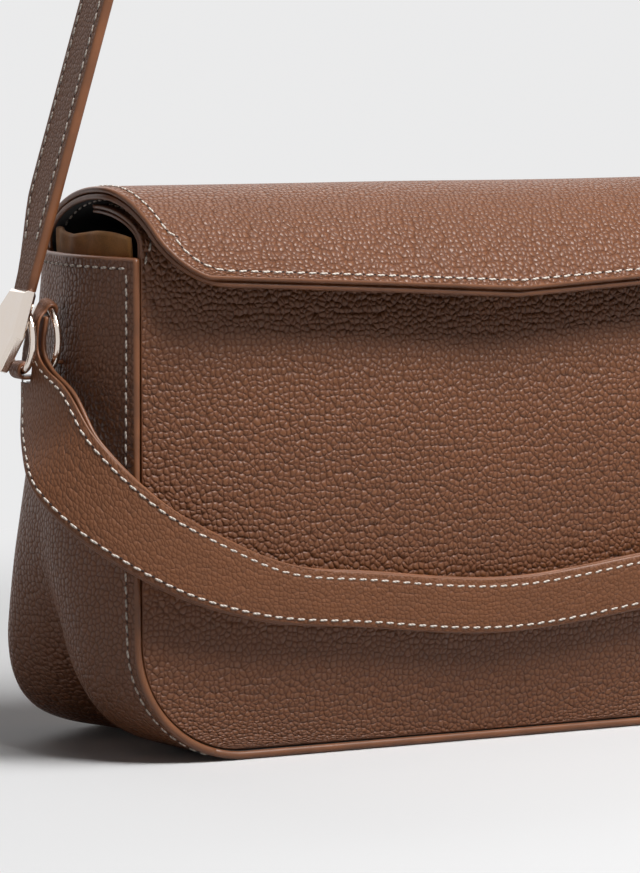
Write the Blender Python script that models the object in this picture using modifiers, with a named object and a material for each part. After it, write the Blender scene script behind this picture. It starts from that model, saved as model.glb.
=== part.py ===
# Flap-over crossbody bag with a short front handle and a long shoulder strap.
# Metres. X is the width, -Y the front with the flap, +Z up.
# The origin is the middle of the base on the floor.
import bpy
import bmesh
import math
from mathutils import Matrix, Vector

for old in list(bpy.data.objects):
    bpy.data.objects.remove(old, do_unlink=True)

CLEARANCE = 0.0003
CUT_OVERRUN = 0.004

# Bag body
HALF_WIDTH = 0.138
HEM_HEIGHT = 0.173
BASE_DEPTH = 0.092
TOP_DEPTH = 0.0755
CORNER_RADIUS = 0.042
BAND_WALL = 0.003
BAND_PROUD = 0.0006
LAP_ANGLE = math.radians(17.5)
GUSSET_BULGE_TOP = 0.0085
GUSSET_BULGE_MIDDLE = 0.0155
PANEL_WALL = 0.0016
FACING_WALL = 0.0012
LINING_WALL = 0.0008
PANEL_BULGE = 0.009

# Rolled top edge of the front
CURL_ABOVE_HEM = 0.005
CURL_RISE = 0.0128
CURL_REACH = 0.040

# Inner facings and lining
FACING_DEPTH = 0.023
GUSSET_FACING_ABOVE_HEM = 0.007
GUSSET_FACING_INSET = 0.007
GUSSET_FACING_BACK_INSET = 0.0115

# Base stiffener
BOARD_END_GAP = 0.005
BOARD_SIDE_GAP = 0.0055
BOARD_WALL = 0.0016

# Slip pocket
POCKET_HALF_WIDTH = 0.065
POCKET_DEPTH = 0.090
POCKET_BELOW_FACING = 0.010
POCKET_GAP = 0.006

# Flap
FLAP_PLY = 0.0021
FLAP_CREST_RISE = 0.024
FLAP_CREST_BACK = 0.026
FLAP_LIP_FORWARD = 0.0225
FLAP_LIP_DROP = 0.0125
FLAP_FRONT_POWER = 2.3
FLAP_POINT_DROP = 0.009
FLAP_CORNER_RADIUS = 0.020
FLAP_SIDE_TAPER = 0.008
FLAP_HINGE_GAP = 0.0003

# Magnetic snap
SNAP_RADIUS = 0.007
SNAP_HOLE_RADIUS = 0.0025
SNAP_SOCKET_WALL = 0.0028
SNAP_STUD_WALL = 0.0014
SNAP_POST_RADIUS = 0.0021
SNAP_POST_LENGTH = 0.0016
SNAP_PLATE_WALL = 0.0008
SNAP_PLATE_RADIUS = 0.006
SNAP_PLATE_GAP = 0.0006
SNAP_ABOVE_LIP = 0.014
SNAP_BELOW_HEM = 0.009

# Rings and their tabs, at mid depth of the gusset's top
RING_BACK = 0.039
RING_BELOW_HEM = 0.028
RING_RADIUS = 0.0112
RING_WIRE_RADIUS = 0.0013
HANDLE_RING_STANDOFF = 0.0156
RING_SPACING = 0.0092
TAB_HALF_WIDTH = 0.0036
TAB_WALL = 0.0012
TAB_DROP = 0.033
TAB_RIVET_RISE = 0.008
TAB_RIVET_RADIUS = 0.0035
TAB_RIVET_WALL = 0.0012
TAB_OUTER_GAP = 0.0006

# Strap block, tilted with the strap
BLOCK_STANDOFF = 0.0035
BLOCK_DROP = 0.0044
BLOCK_HALF_WIDTH = 0.012
BLOCK_WALL = 0.0046
BLOCK_RISE = 0.0082
BLOCK_SHOULDER = 0.0065
BLOCK_TIP = 0.0185
BLOCK_TIP_HALF_WIDTH = 0.006
BLOCK_FACET = 0.0011
LUG_RADIUS = 0.0026
LUG_HALF_WIDTH = 0.0025
RING_RUNNING_GAP = 0.0006

# Shoulder strap
STRAP_LEAN = math.radians(16.6)
STRAP_INSET = 0.0004
STRAP_HALF_WIDTH = 0.010
STRAP_WALL = 0.0036
STRAP_APEX_RADIUS = 0.025

# Strap buckle on the right run, measured along the run from the block
BUCKLE_ALONG = 0.175
BUCKLE_HALF_LENGTH = 0.010
BUCKLE_HALF_WIDTH = 0.0130
BUCKLE_WIRE_RADIUS = 0.0015
TAIL_LENGTH = 0.110
KEEPER_BEYOND_BUCKLE = 0.040
KEEPER_HALF_LENGTH = 0.004
KEEPER_WALL = 0.0012
PRONG_HALF_WIDTH = 0.0011
PRONG_THICKNESS = 0.0016
PRONG_EYE_WALL = 0.0011
PRONG_OVERHANG = 0.0035
PRONG_SLOT_HALF_WIDTH = 0.0016
PRONG_SLOT_BEFORE = 0.0075
PRONG_SLOT_AFTER = 0.0192

# Handle
HANDLE_PLY = 0.0019
HANDLE_BACKING_PLY = 0.0016
HANDLE_DROP = 0.0961
HANDLE_STANDOFF = 0.0040
HANDLE_FRONT_GAP = 0.0015
HANDLE_HALF_WIDTH = 0.0149
# Rows from the ring to the middle, as shares: of the ring's distance from the middle, of the standoff,
# of the way from the ring forward to the front, of the drop up from the lowest point, of the widest
# half width, and of the turn from facing sideways to facing forward.
HANDLE_ROW_SHARES = [(1, 1, 0.08, 1.02, 0.29, 0), (1, 1, 0.155, 0.96, 0.31, 0), (1, 1, 0.238, 0.91, 0.42, 0.03),
                     (1, 0.75, 0.24, 0.85, 0.72, 0.26), (1, 1.7, 0.337, 0.783, 0.86, 0.34),
                     (1, 1.88, 0.72, 0.56, 1, 0.63), (0.988, 0, 0.888, 0.436, 0.95, 0.8),
                     (0.884, 0, 0.988, 0.306, 0.87, 0.925), (0.75, 0, 1, 0.195, 0.85, 0.985),
                     (0.568, 0, 1, 0.09, 0.69, 1), (0.372, 0, 1, 0.061, 0.67, 1),
                     (0.18, 0, 1, 0.02, 0.67, 1), (0, 0, 1, 0, 0.67, 1)]
HANDLE_END_HALF_WIDTH = 0.0042
HANDLE_LOOP_ANGLE = math.radians(75)
HANDLE_LOOP_DROP = 0.0004
HANDLE_LOOP_RADIUS = 0.0022
HANDLE_LOOP_START = math.radians(-105)

BAG = bpy.data.collections.new("crossbody_bag")
bpy.context.scene.collection.children.link(BAG)
CUTTERS = bpy.data.collections.new("cutters")
bpy.context.scene.collection.children.link(CUTTERS)

SIDES = {"left": -1, "right": 1}
BACK_LEAN = BASE_DEPTH - TOP_DEPTH
FRONT_Y = -BASE_DEPTH / 2
BACK_Y = BASE_DEPTH / 2
PANEL_FACE_Y = FRONT_Y + BAND_PROUD
CURL_START = HEM_HEIGHT + CURL_ABOVE_HEM
CURL_END_Y = FRONT_Y + CURL_REACH
FACING_FOOT = HEM_HEIGHT - FACING_DEPTH
POCKET_TOP = FACING_FOOT - POCKET_BELOW_FACING
POCKET_FLOOR = POCKET_TOP - POCKET_DEPTH
FLAP_CREST_Y = FRONT_Y + FLAP_CREST_BACK
FLAP_LIP_Y = FRONT_Y - FLAP_LIP_FORWARD
FLAP_CREST_HEIGHT = HEM_HEIGHT + FLAP_CREST_RISE
FLAP_LIP_HEIGHT = HEM_HEIGHT - FLAP_LIP_DROP
SNAP_HEIGHT = HEM_HEIGHT - SNAP_BELOW_HEM
RING_Y = FRONT_Y + RING_BACK
RING_HEIGHT = HEM_HEIGHT - RING_BELOW_HEM
HANDLE_RING_X = HALF_WIDTH + HANDLE_RING_STANDOFF
STRAP_RING_X = HANDLE_RING_X + RING_SPACING
TAB_FOOT = RING_HEIGHT - TAB_DROP
TAB_RIVET_HEIGHT = TAB_FOOT + TAB_RIVET_RISE
BLOCK_X = STRAP_RING_X + BLOCK_STANDOFF
BLOCK_HEIGHT = RING_HEIGHT + RING_RADIUS - BLOCK_DROP
KEEPER_ALONG = BUCKLE_ALONG + KEEPER_BEYOND_BUCKLE
HANDLE_FRONT_Y = PANEL_FACE_Y - PANEL_BULGE - HANDLE_FRONT_GAP - HANDLE_BACKING_PLY - CLEARANCE
STRAP_DIRECTION = Vector((math.sin(STRAP_LEAN), 0, math.cos(STRAP_LEAN)))


def material(name, colour, roughness, metallic=0.0):
    """Principled material with one colour."""
    made = bpy.data.materials.new(name)
    made.use_nodes = True
    shader = made.node_tree.nodes["Principled BSDF"]
    shader.inputs["Base Color"].default_value = (*colour, 1.0)
    shader.inputs["Roughness"].default_value = roughness
    shader.inputs["Metallic"].default_value = metallic
    return made


BROWN_LEATHER = material("brown_leather", (0.13, 0.06, 0.033), 0.5)
EDGE_LEATHER = material("edge_leather", (0.18, 0.085, 0.05), 0.4)
TAN_FACING = material("tan_facing", (0.26, 0.13, 0.06), 0.8)
BLACK_LINING = material("black_lining", (0.012, 0.012, 0.014), 0.9)
GREY_BOARD = material("grey_board", (0.3, 0.28, 0.25), 0.9)
BRIGHT_METAL = material("bright_metal", (0.85, 0.8, 0.74), 0.15, 1.0)


def add_object(name, mesh, finish, collection=BAG):
    """Object of a mesh, in a collection, with its material."""
    made = bpy.data.objects.new(name, mesh)
    made.data.materials.append(finish)
    collection.objects.link(made)
    return made


def sheet(name, rows_at, start, wall, finish):
    """Leather sheet lofted through rows of points, between two offsets of one surface."""
    outer = rows_at(start)
    inner = rows_at(start + wall)
    rows = len(outer)
    columns = len(outer[0])
    points = [point for row in outer for point in row] + [point for row in inner for point in row]
    shape = bmesh.new()
    corners = [shape.verts.new(point) for point in points]
    under = rows * columns

    def face(*indices):
        shape.faces.new([corners[index] for index in indices])

    for row in range(rows - 1):
        for column in range(columns - 1):
            first = row * columns + column
            face(first, first + 1, first + columns + 1, first + columns)
            face(under + first, under + first + columns, under + first + columns + 1, under + first + 1)
    rim = [column for column in range(columns)]
    rim += [row * columns + columns - 1 for row in range(1, rows)]
    rim += [(rows - 1) * columns + column for column in range(columns - 2, -1, -1)]
    rim += [row * columns for row in range(rows - 2, 0, -1)]
    for first, second in zip(rim, rim[1:] + rim[:1]):
        face(second, first, under + first, under + second)
    bmesh.ops.recalc_face_normals(shape, faces=shape.faces)
    mesh = bpy.data.meshes.new(name)
    shape.to_mesh(mesh)
    shape.free()
    return add_object(name, mesh, finish)


def mesh_of(builder, *arguments, **settings):
    """Mesh filled by one bmesh operator."""
    shape = bmesh.new()
    builder(shape, *arguments, **settings)
    mesh = bpy.data.meshes.new("shape")
    shape.to_mesh(mesh)
    shape.free()
    return mesh


def box(name, low, high, finish, collection=BAG):
    """Box between two corners."""
    size = Vector(high) - Vector(low)
    middle = (Vector(high) + Vector(low)) / 2
    place = Matrix.Translation(middle) @ Matrix.Diagonal((*size, 1))
    return add_object(name, mesh_of(bmesh.ops.create_cube, size=1, matrix=place), finish, collection)


def cylinder(name, start, end, radius, finish, segments=20, collection=BAG):
    """Round bar from start to end."""
    along = Vector(end) - Vector(start)
    turn = along.to_track_quat("Z", "Y").to_matrix().to_4x4()
    place = Matrix.Translation((Vector(start) + Vector(end)) / 2) @ turn
    mesh = mesh_of(bmesh.ops.create_cone, cap_ends=True, segments=segments,
                   radius1=radius, radius2=radius, depth=along.length, matrix=place)
    return add_object(name, mesh, finish, collection)


def torus(name, centre, radius, wire, finish, segments=32, collection=BAG):
    """Round ring whose axis is X, with its origin at its centre."""
    bpy.ops.mesh.primitive_torus_add(location=centre, rotation=(0, math.pi / 2, 0), major_radius=radius,
                                     minor_radius=wire, major_segments=segments, minor_segments=8)
    made = bpy.context.object
    made.name = name
    made.data.materials.append(finish)
    for holder in list(made.users_collection):
        holder.objects.unlink(made)
    collection.objects.link(made)
    return made


def outline_solid(name, outlines, thickness, place, finish):
    """Flat outline, with any holes, extruded to its thickness and made a mesh at its place."""
    curve = bpy.data.curves.new(name, "CURVE")
    curve.dimensions = "2D"
    curve.fill_mode = "BOTH"
    curve.extrude = thickness / 2
    for outline in outlines:
        spline = curve.splines.new("POLY")
        spline.points.add(len(outline) - 1)
        for point, (across, up) in zip(spline.points, outline):
            point.co = (across, up, 0, 1)
        spline.use_cyclic_u = True
    guide = bpy.data.objects.new(name + "_outline", curve)
    CUTTERS.objects.link(guide)
    bpy.context.view_layer.update()
    evaluated = guide.evaluated_get(bpy.context.evaluated_depsgraph_get())
    mesh = bpy.data.meshes.new_from_object(evaluated)
    shape = bmesh.new()
    shape.from_mesh(mesh)
    bmesh.ops.remove_doubles(shape, verts=shape.verts, dist=0.00001)
    bmesh.ops.recalc_face_normals(shape, faces=shape.faces)
    shape.to_mesh(mesh)
    shape.free()
    mesh.transform(place)
    if place.determinant() < 0:
        mesh.flip_normals()
    mesh.materials.clear()
    bpy.data.objects.remove(guide, do_unlink=True)
    return add_object(name, mesh, finish)


def cut(target, cutter, operation="DIFFERENCE"):
    """Boolean with a hidden cutter."""
    for holder in list(cutter.users_collection):
        holder.objects.unlink(cutter)
    CUTTERS.objects.link(cutter)
    cutter.hide_render = True
    cutter.display_type = "WIRE"
    step = target.modifiers.new(operation.lower(), "BOOLEAN")
    step.operation = operation
    step.solver = "EXACT"
    step.object = cutter


def smooth(share):
    """Smooth step from 0 to 1."""
    held = min(max(share, 0.0), 1.0)
    return held * held * (3 - 2 * held)


def back_y(height):
    """Outer face of the back at a height: it leans forward above the base."""
    return BACK_Y - BACK_LEAN * height / HEM_HEIGHT


def gusset_bulge(height):
    """How far the gusset's ridge stands out at a height: full at half height, nothing at the base."""
    rise_share = smooth(height / (0.42 * HEM_HEIGHT))
    fall_share = smooth((height / HEM_HEIGHT - 0.42) / 0.58)
    return rise_share * (GUSSET_BULGE_MIDDLE + (GUSSET_BULGE_TOP - GUSSET_BULGE_MIDDLE) * fall_share)


def ridge(across_share):
    """Cross section of the gusset's bulge, a soft ridge at mid depth."""
    return 1 - abs(2 * across_share - 1) ** 1.6


def gusset_stations(top_row, corner_shares):
    """Heights down the bag's side from the hem, and angles round its lower corner."""
    heights = [HEM_HEIGHT, FACING_FOOT - CLEARANCE]
    for row in range(1, 5):
        heights.append(heights[1] + (CORNER_RADIUS - heights[1]) * row / 5)
    angles = [math.pi / 2 * share for share in corner_shares] + [LAP_ANGLE, LAP_ANGLE / 4]
    return heights[top_row:], angles


CORNER_SHARES = [1, 0.86, 0.72, 0.58, 0.44, 0.31]
DEPTH_SHARES = [0, 0.05, 0.15, 0.28, 0.4, 0.5, 0.6, 0.72, 0.85, 0.95, 1]


def gusset_rows(side, offset, top_row, lining):
    """Rows of the gusset's surface set in by an offset; the lining's are shorter and reach further under."""
    heights, angles = gusset_stations(top_row, CORNER_SHARES)
    stations = [(-HALF_WIDTH + offset, height, -1.0, 0.0) for height in heights]
    reach = CORNER_RADIUS - offset
    for angle in angles if lining else angles[:-1]:
        out_x = -math.sin(angle)
        out_z = -math.cos(angle)
        station_x = -HALF_WIDTH + CORNER_RADIUS + reach * out_x
        stations.append((station_x, CORNER_RADIUS + reach * out_z, out_x, out_z))
    rows = []
    for x, z, out_x, out_z in stations:
        front = FRONT_Y
        back = back_y(z) + (0 if lining else BAND_PROUD)
        row = []
        for across_share in DEPTH_SHARES[1:-1] if lining else DEPTH_SHARES:
            out = gusset_bulge(z) * ridge(across_share)
            depth = front + (back - front) * across_share
            row.append(Vector((-side * (x + out * out_x), depth, z + out * out_z)))
        rows.append(row)
    return rows


def gusset_face_x(height):
    """Distance of the gusset's outer ridge from the middle at a height."""
    return HALF_WIDTH + gusset_bulge(height)


PANEL_INSET = BAND_WALL + 2 * CLEARANCE
PANEL_CORNER = CORNER_RADIUS - PANEL_INSET


def panel_half_width(height):
    """Half width of the front and back panels at a height, with round lower corners."""
    if height >= CORNER_RADIUS:
        return HALF_WIDTH - PANEL_INSET
    below = CORNER_RADIUS - height
    return HALF_WIDTH - CORNER_RADIUS + math.sqrt(max(PANEL_CORNER ** 2 - below ** 2, 0.0))


def panel_heights(foot, top):
    """Heights of a panel's rows between its foot and top, closer in the round corners."""
    heights = [CORNER_RADIUS - PANEL_CORNER * math.cos(math.pi / 2 * row / 7) for row in range(8)]
    lining_top = FACING_FOOT - CLEARANCE
    heights += [CORNER_RADIUS + (lining_top - CORNER_RADIUS) * row / 5 for row in range(1, 6)]
    heights += [FACING_FOOT, HEM_HEIGHT - CLEARANCE, CURL_START]
    return [height for height in heights if foot <= height <= top]


def panel_swell(height):
    """Share of the front panel's bulge at a height."""
    return math.sin(0.93 * math.pi * min(height / CURL_START, 1.0) ** 0.9)


def front_point(across_share, height, offset):
    """Point of the front panel below its rolled edge, set back by an offset."""
    half = panel_half_width(height)
    swell = PANEL_BULGE * (1 - across_share ** 2) * panel_swell(height)
    return Vector((across_share * half, PANEL_FACE_Y - swell + offset, height))


def curl_point(across_share, angle, offset):
    """Point of the rolled edge, a quarter ellipse back over the opening, set in by an offset."""
    start = front_point(across_share, CURL_START, 0)
    depth = CURL_END_Y - start.y - offset
    rise = CURL_RISE - offset
    back = offset + depth * (1 - math.cos(angle))
    return Vector((start.x, start.y + back, CURL_START + rise * math.sin(angle)))


ACROSS_SHARES = [-1, -0.72, -0.4, 0, 0.4, 0.72, 1]


def front_rows(offset, foot, curled):
    """Rows of the front panel, and of its rolled edge where it has one."""
    top = CURL_START if curled else FACING_FOOT - CLEARANCE
    rows = [[front_point(share, height, offset) for share in ACROSS_SHARES]
            for height in panel_heights(foot, top)]
    if curled:
        for step in range(1, 8):
            angle = math.pi / 2 * step / 7
            rows.append([curl_point(share, angle, offset) for share in ACROSS_SHARES])
    return rows


def back_rows(offset, foot, top):
    """Rows of the flat back panel, set in by an offset."""
    rows = []
    for height in panel_heights(foot, top):
        half = panel_half_width(height)
        rows.append([Vector((share * half, back_y(height) - offset, height)) for share in (-1, 0, 1)])
    return rows


def make_front():
    """Front panel with its rolled edge, the facing under the edge, and the lining."""
    facing = PANEL_WALL + CLEARANCE
    sheet("front_panel", lambda offset: front_rows(offset, 0, True), 0, PANEL_WALL, BROWN_LEATHER)
    sheet("front_facing", lambda offset: front_rows(offset, FACING_FOOT, True),
          facing, FACING_WALL, EDGE_LEATHER)
    sheet("lining_front", lambda offset: front_rows(offset, 0, False), facing, LINING_WALL, BLACK_LINING)


def make_back():
    """Back panel, the facing inside its top and the lining."""
    facing = PANEL_WALL + CLEARANCE
    sheet("back_panel", lambda offset: back_rows(offset, 0, HEM_HEIGHT), 0, PANEL_WALL, BROWN_LEATHER)
    sheet("back_facing", lambda offset: back_rows(offset, FACING_FOOT, HEM_HEIGHT),
          facing, FACING_WALL, EDGE_LEATHER)
    sheet("lining_back", lambda offset: back_rows(offset, 0, FACING_FOOT - CLEARANCE), facing, LINING_WALL,
          BLACK_LINING)


def gusset_facing_rows(side, offset):
    """Rows of the tan facing inside the gusset's top, which stands above the hem."""
    rows = []
    for height in (FACING_FOOT, HEM_HEIGHT, HEM_HEIGHT + GUSSET_FACING_ABOVE_HEM):
        front = FRONT_Y + GUSSET_FACING_INSET
        back = back_y(HEM_HEIGHT) - GUSSET_FACING_BACK_INSET
        row = []
        for column in range(9):
            y = front + (back - front) * column / 8
            across_share = (y - FRONT_Y) / (back_y(height) - FRONT_Y)
            out = gusset_bulge(height) * ridge(across_share)
            row.append(Vector((side * (HALF_WIDTH + out - offset), y, height)))
        rows.append(row)
    return rows


def make_gussets():
    """Side gussets, the tan facings that stand above their hems, and the side linings."""
    for name, side in SIDES.items():
        inner = BAND_WALL + CLEARANCE
        sheet("gusset_" + name, lambda offset: gusset_rows(side, offset, 0, False),
              0, BAND_WALL, BROWN_LEATHER)
        sheet("gusset_facing_" + name, lambda offset: gusset_facing_rows(side, offset), inner + CLEARANCE,
              FACING_WALL, TAN_FACING)
        sheet("lining_" + name, lambda offset: gusset_rows(side, offset, 1, True),
              inner, LINING_WALL, BLACK_LINING)


def base_rows(offset):
    """Rows of the base strip, set in by an offset."""
    lap = LAP_ANGLE - CLEARANCE / CORNER_RADIUS
    reach = CORNER_RADIUS - offset
    line = []
    for angle in (lap, lap / 2, 0):
        station_x = -HALF_WIDTH + CORNER_RADIUS - reach * math.sin(angle)
        line.append((station_x, CORNER_RADIUS - reach * math.cos(angle)))
    line += [(-x, z) for x, z in reversed(line)]
    rows = []
    for x, z in line:
        back = back_y(z) + BAND_PROUD
        rows.append([Vector((x, FRONT_Y + (back - FRONT_Y) * column / 2, z)) for column in range(3)])
    return rows


def make_base():
    """Base strip lapped to the gussets, the stiffener board and the base lining."""
    sheet("base_panel", base_rows, 0, BAND_WALL, BROWN_LEATHER)
    half_length = HALF_WIDTH - CORNER_RADIUS - BOARD_END_GAP
    half_depth = BASE_DEPTH / 2 - BOARD_SIDE_GAP
    floor = BAND_WALL + CLEARANCE
    high = (half_length, half_depth, floor + BOARD_WALL)
    box("base_board", (-half_length, -half_depth, floor), high, GREY_BOARD)
    floor += BOARD_WALL + CLEARANCE
    box("lining_base", (-half_length, -half_depth, floor), (half_length, half_depth, floor + LINING_WALL),
        BLACK_LINING)


def make_pocket():
    """Slip pocket on the back lining, open at its top and towards the lining."""
    inner = PANEL_WALL + CLEARANCE + LINING_WALL + CLEARANCE
    back = back_y(POCKET_TOP) - inner
    foot_back = back_y(POCKET_FLOOR) - inner
    profile = [(back, POCKET_TOP), (back - POCKET_GAP - LINING_WALL, POCKET_TOP),
               (foot_back - POCKET_GAP - LINING_WALL, POCKET_FLOOR), (foot_back, POCKET_FLOOR)]
    upright = Matrix(((0, 0, 1, 0), (1, 0, 0, 0), (0, 1, 0, 0), (0, 0, 0, 1)))
    width = 2 * (POCKET_HALF_WIDTH + LINING_WALL)
    pocket = outline_solid("slip_pocket", [profile], width, upright, BLACK_LINING)
    floor = POCKET_FLOOR + LINING_WALL
    hollow = [(back + POCKET_GAP, POCKET_TOP + CUT_OVERRUN), (back - POCKET_GAP, POCKET_TOP + CUT_OVERRUN),
              (back - POCKET_GAP, POCKET_TOP), (foot_back - POCKET_GAP, floor),
              (foot_back + POCKET_GAP, floor)]
    cut(pocket, outline_solid("pocket_hollow", [hollow], 2 * POCKET_HALF_WIDTH, upright, BLACK_LINING))


def flap_profile():
    """Section of the flap's outer face from the back hem over the crest to the lip, as y and z."""
    points = []
    rear = back_y(HEM_HEIGHT) - FLAP_CREST_Y
    rise = FLAP_CREST_HEIGHT - HEM_HEIGHT
    for step in range(41):
        angle = math.pi / 2 * step / 40
        points.append((FLAP_CREST_Y + rear * math.cos(angle), HEM_HEIGHT + rise * math.sin(angle)))
    run = FLAP_CREST_Y - FLAP_LIP_Y
    drop = FLAP_CREST_HEIGHT - FLAP_LIP_HEIGHT
    for step in range(1, 41):
        share = step / 40
        points.append((FLAP_CREST_Y - run * share, FLAP_CREST_HEIGHT - drop * share ** FLAP_FRONT_POWER))
    return points


FLAP_PROFILE = flap_profile()
FLAP_LENGTHS = [0.0]
for before, after in zip(FLAP_PROFILE, FLAP_PROFILE[1:]):
    FLAP_LENGTHS.append(FLAP_LENGTHS[-1] + math.dist(before, after))
FLAP_LENGTH = FLAP_LENGTHS[-1]


def flap_place(length, offset):
    """Point of the flap's section at a length from the hem, set in by an offset, and the way out."""
    index = 0
    while index < len(FLAP_LENGTHS) - 2 and FLAP_LENGTHS[index + 1] < length:
        index += 1
    step = FLAP_LENGTHS[index + 1] - FLAP_LENGTHS[index]
    share = (length - FLAP_LENGTHS[index]) / step
    y0, z0 = FLAP_PROFILE[index]
    y1, z1 = FLAP_PROFILE[index + 1]
    out_y = (z1 - z0) / step
    out_z = -(y1 - y0) / step
    return (y0 + (y1 - y0) * share - offset * out_y, z0 + (z1 - z0) * share - offset * out_z, out_y, out_z)


def flap_half_width(from_lip):
    """Half width of the flap at a distance from its front edge."""
    full = HALF_WIDTH - FLAP_SIDE_TAPER * smooth(1 - from_lip / (FLAP_LENGTH / 2))
    if from_lip >= FLAP_CORNER_RADIUS:
        return full
    short = FLAP_CORNER_RADIUS - from_lip
    return full - FLAP_CORNER_RADIUS + math.sqrt(FLAP_CORNER_RADIUS ** 2 - short ** 2)


def flap_rows(offset):
    """Rows of the flap, whose front edge falls to a shallow point in the middle."""
    distances = [FLAP_LENGTH + (FLAP_CORNER_RADIUS - FLAP_LENGTH) * row / 14 for row in range(15)]
    for step in range(1, 6):
        distances.append(FLAP_CORNER_RADIUS * (1 - math.sin(math.pi / 2 * step / 5)))
    rows = []
    for distance in distances:
        half = flap_half_width(distance)
        row = []
        for share in ACROSS_SHARES:
            x = share * half
            shorter = FLAP_POINT_DROP * abs(x) / HALF_WIDTH
            length = (FLAP_LENGTH - distance) * (1 - shorter / FLAP_LENGTH)
            y, z, out_y, out_z = flap_place(length, offset)
            row.append(Vector((x, y, z + FLAP_HINGE_GAP)))
        rows.append(row)
    return rows


def make_flap():
    """Flap leather and its inner ply."""
    sheet("flap_leather", flap_rows, 0, FLAP_PLY, BROWN_LEATHER)
    sheet("flap_lining", flap_rows, FLAP_PLY + CLEARANCE, FLAP_PLY, EDGE_LEATHER)


def make_snap():
    """Magnetic snap: socket and plate on the front panel, stud and plate on the flap."""
    slope = front_point(0, SNAP_HEIGHT + SNAP_RADIUS, 0) - front_point(0, SNAP_HEIGHT - SNAP_RADIUS, 0)
    outward = Vector((0, -slope.z, slope.y)).normalized()
    start = front_point(0, SNAP_HEIGHT, 0) + outward * CLEARANCE
    end = start + outward * SNAP_SOCKET_WALL
    socket = cylinder("snap_socket", start, end, SNAP_RADIUS, BRIGHT_METAL)
    over = outward * CUT_OVERRUN
    cut(socket, cylinder("snap_hole", start - over, end + over, SNAP_HOLE_RADIUS, BRIGHT_METAL))
    stack = PANEL_WALL + FACING_WALL + CLEARANCE + SNAP_PLATE_GAP
    start = front_point(0, SNAP_HEIGHT, stack)
    cylinder("snap_socket_plate", start, start - outward * SNAP_PLATE_WALL, SNAP_PLATE_RADIUS, BRIGHT_METAL)
    under = 2 * (FLAP_PLY + CLEARANCE)
    y, z, out_y, out_z = flap_place(FLAP_LENGTH - SNAP_ABOVE_LIP, under)
    inward = Vector((0, -out_y, -out_z))
    start = Vector((0, y, z + FLAP_HINGE_GAP))
    end = start + inward * SNAP_STUD_WALL
    stud = cylinder("snap_stud", start, end, SNAP_RADIUS, BRIGHT_METAL)
    post = cylinder("snap_post", start + inward * SNAP_STUD_WALL / 2, end + inward * SNAP_POST_LENGTH,
                    SNAP_POST_RADIUS, BRIGHT_METAL)
    cut(stud, post, "UNION")


def side_name(name, side_key):
    """Name of one side's copy of a piece."""
    return name + "_" + side_key


def make_rings():
    """Two round rings on each side, one for the handle and one for the strap."""
    for key, side in SIDES.items():
        torus(side_name("handle_ring", key), (side * HANDLE_RING_X, RING_Y, RING_HEIGHT),
              RING_RADIUS, RING_WIRE_RADIUS, BRIGHT_METAL)
        torus(side_name("strap_ring", key), (side * STRAP_RING_X, RING_Y, RING_HEIGHT),
              RING_RADIUS, RING_WIRE_RADIUS, BRIGHT_METAL)


def make_tabs():
    """Leather tab on each gusset whose loop holds both rings, with its rivet."""
    ring_foot = RING_HEIGHT - RING_RADIUS
    edge_drop = RING_RADIUS - math.sqrt(RING_RADIUS ** 2 - TAB_HALF_WIDTH ** 2)
    tunnel_top = ring_foot + edge_drop + RING_WIRE_RADIUS + CLEARANCE
    tunnel_foot = ring_foot - RING_WIRE_RADIUS - CLEARANCE
    top = tunnel_top + TAB_WALL
    foot = tunnel_foot - TAB_WALL
    tunnel_out = STRAP_RING_X + RING_WIRE_RADIUS + CLEARANCE
    outer = tunnel_out + TAB_WALL
    tunnel_in = gusset_face_x(foot) + CLEARANCE + TAB_WALL
    seat = [(gusset_face_x(TAB_FOOT + (top - TAB_FOOT) * step / 3) + CLEARANCE,
             TAB_FOOT + (top - TAB_FOOT) * step / 3) for step in range(4)]
    rim = seat + [(outer, top), (outer, foot), (tunnel_in, foot), (seat[0][0] + TAB_WALL, TAB_FOOT)]
    tunnel = [(tunnel_in, tunnel_foot), (tunnel_out, tunnel_foot),
              (tunnel_out, tunnel_top), (tunnel_in, tunnel_top)]
    for key, side in SIDES.items():
        place = Matrix(((side, 0, 0, 0), (0, 0, 1, RING_Y), (0, 1, 0, 0), (0, 0, 0, 1)))
        outline_solid(side_name("side_tab", key), [rim, tunnel], 2 * TAB_HALF_WIDTH, place, BROWN_LEATHER)
        share = (TAB_RIVET_HEIGHT - TAB_FOOT) / (foot - TAB_FOOT)
        face = seat[0][0] + TAB_WALL + (tunnel_in - seat[0][0] - TAB_WALL) * share + TAB_OUTER_GAP
        cylinder(side_name("tab_rivet", key), (side * face, RING_Y, TAB_RIVET_HEIGHT),
                 (side * (face + TAB_RIVET_WALL), RING_Y, TAB_RIVET_HEIGHT), TAB_RIVET_RADIUS, BRIGHT_METAL)


def run_direction(side):
    """Direction of the strap's run on a side, upwards and inwards."""
    return Vector((-side * STRAP_DIRECTION.x, 0, STRAP_DIRECTION.z))


def run_outward(side):
    """Direction square to the run, away from the bag."""
    return Vector((side * STRAP_DIRECTION.z, 0, STRAP_DIRECTION.x))


def block_centre(side):
    """Middle of the strap block's body."""
    return Vector((side * BLOCK_X, RING_Y, BLOCK_HEIGHT))


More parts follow.
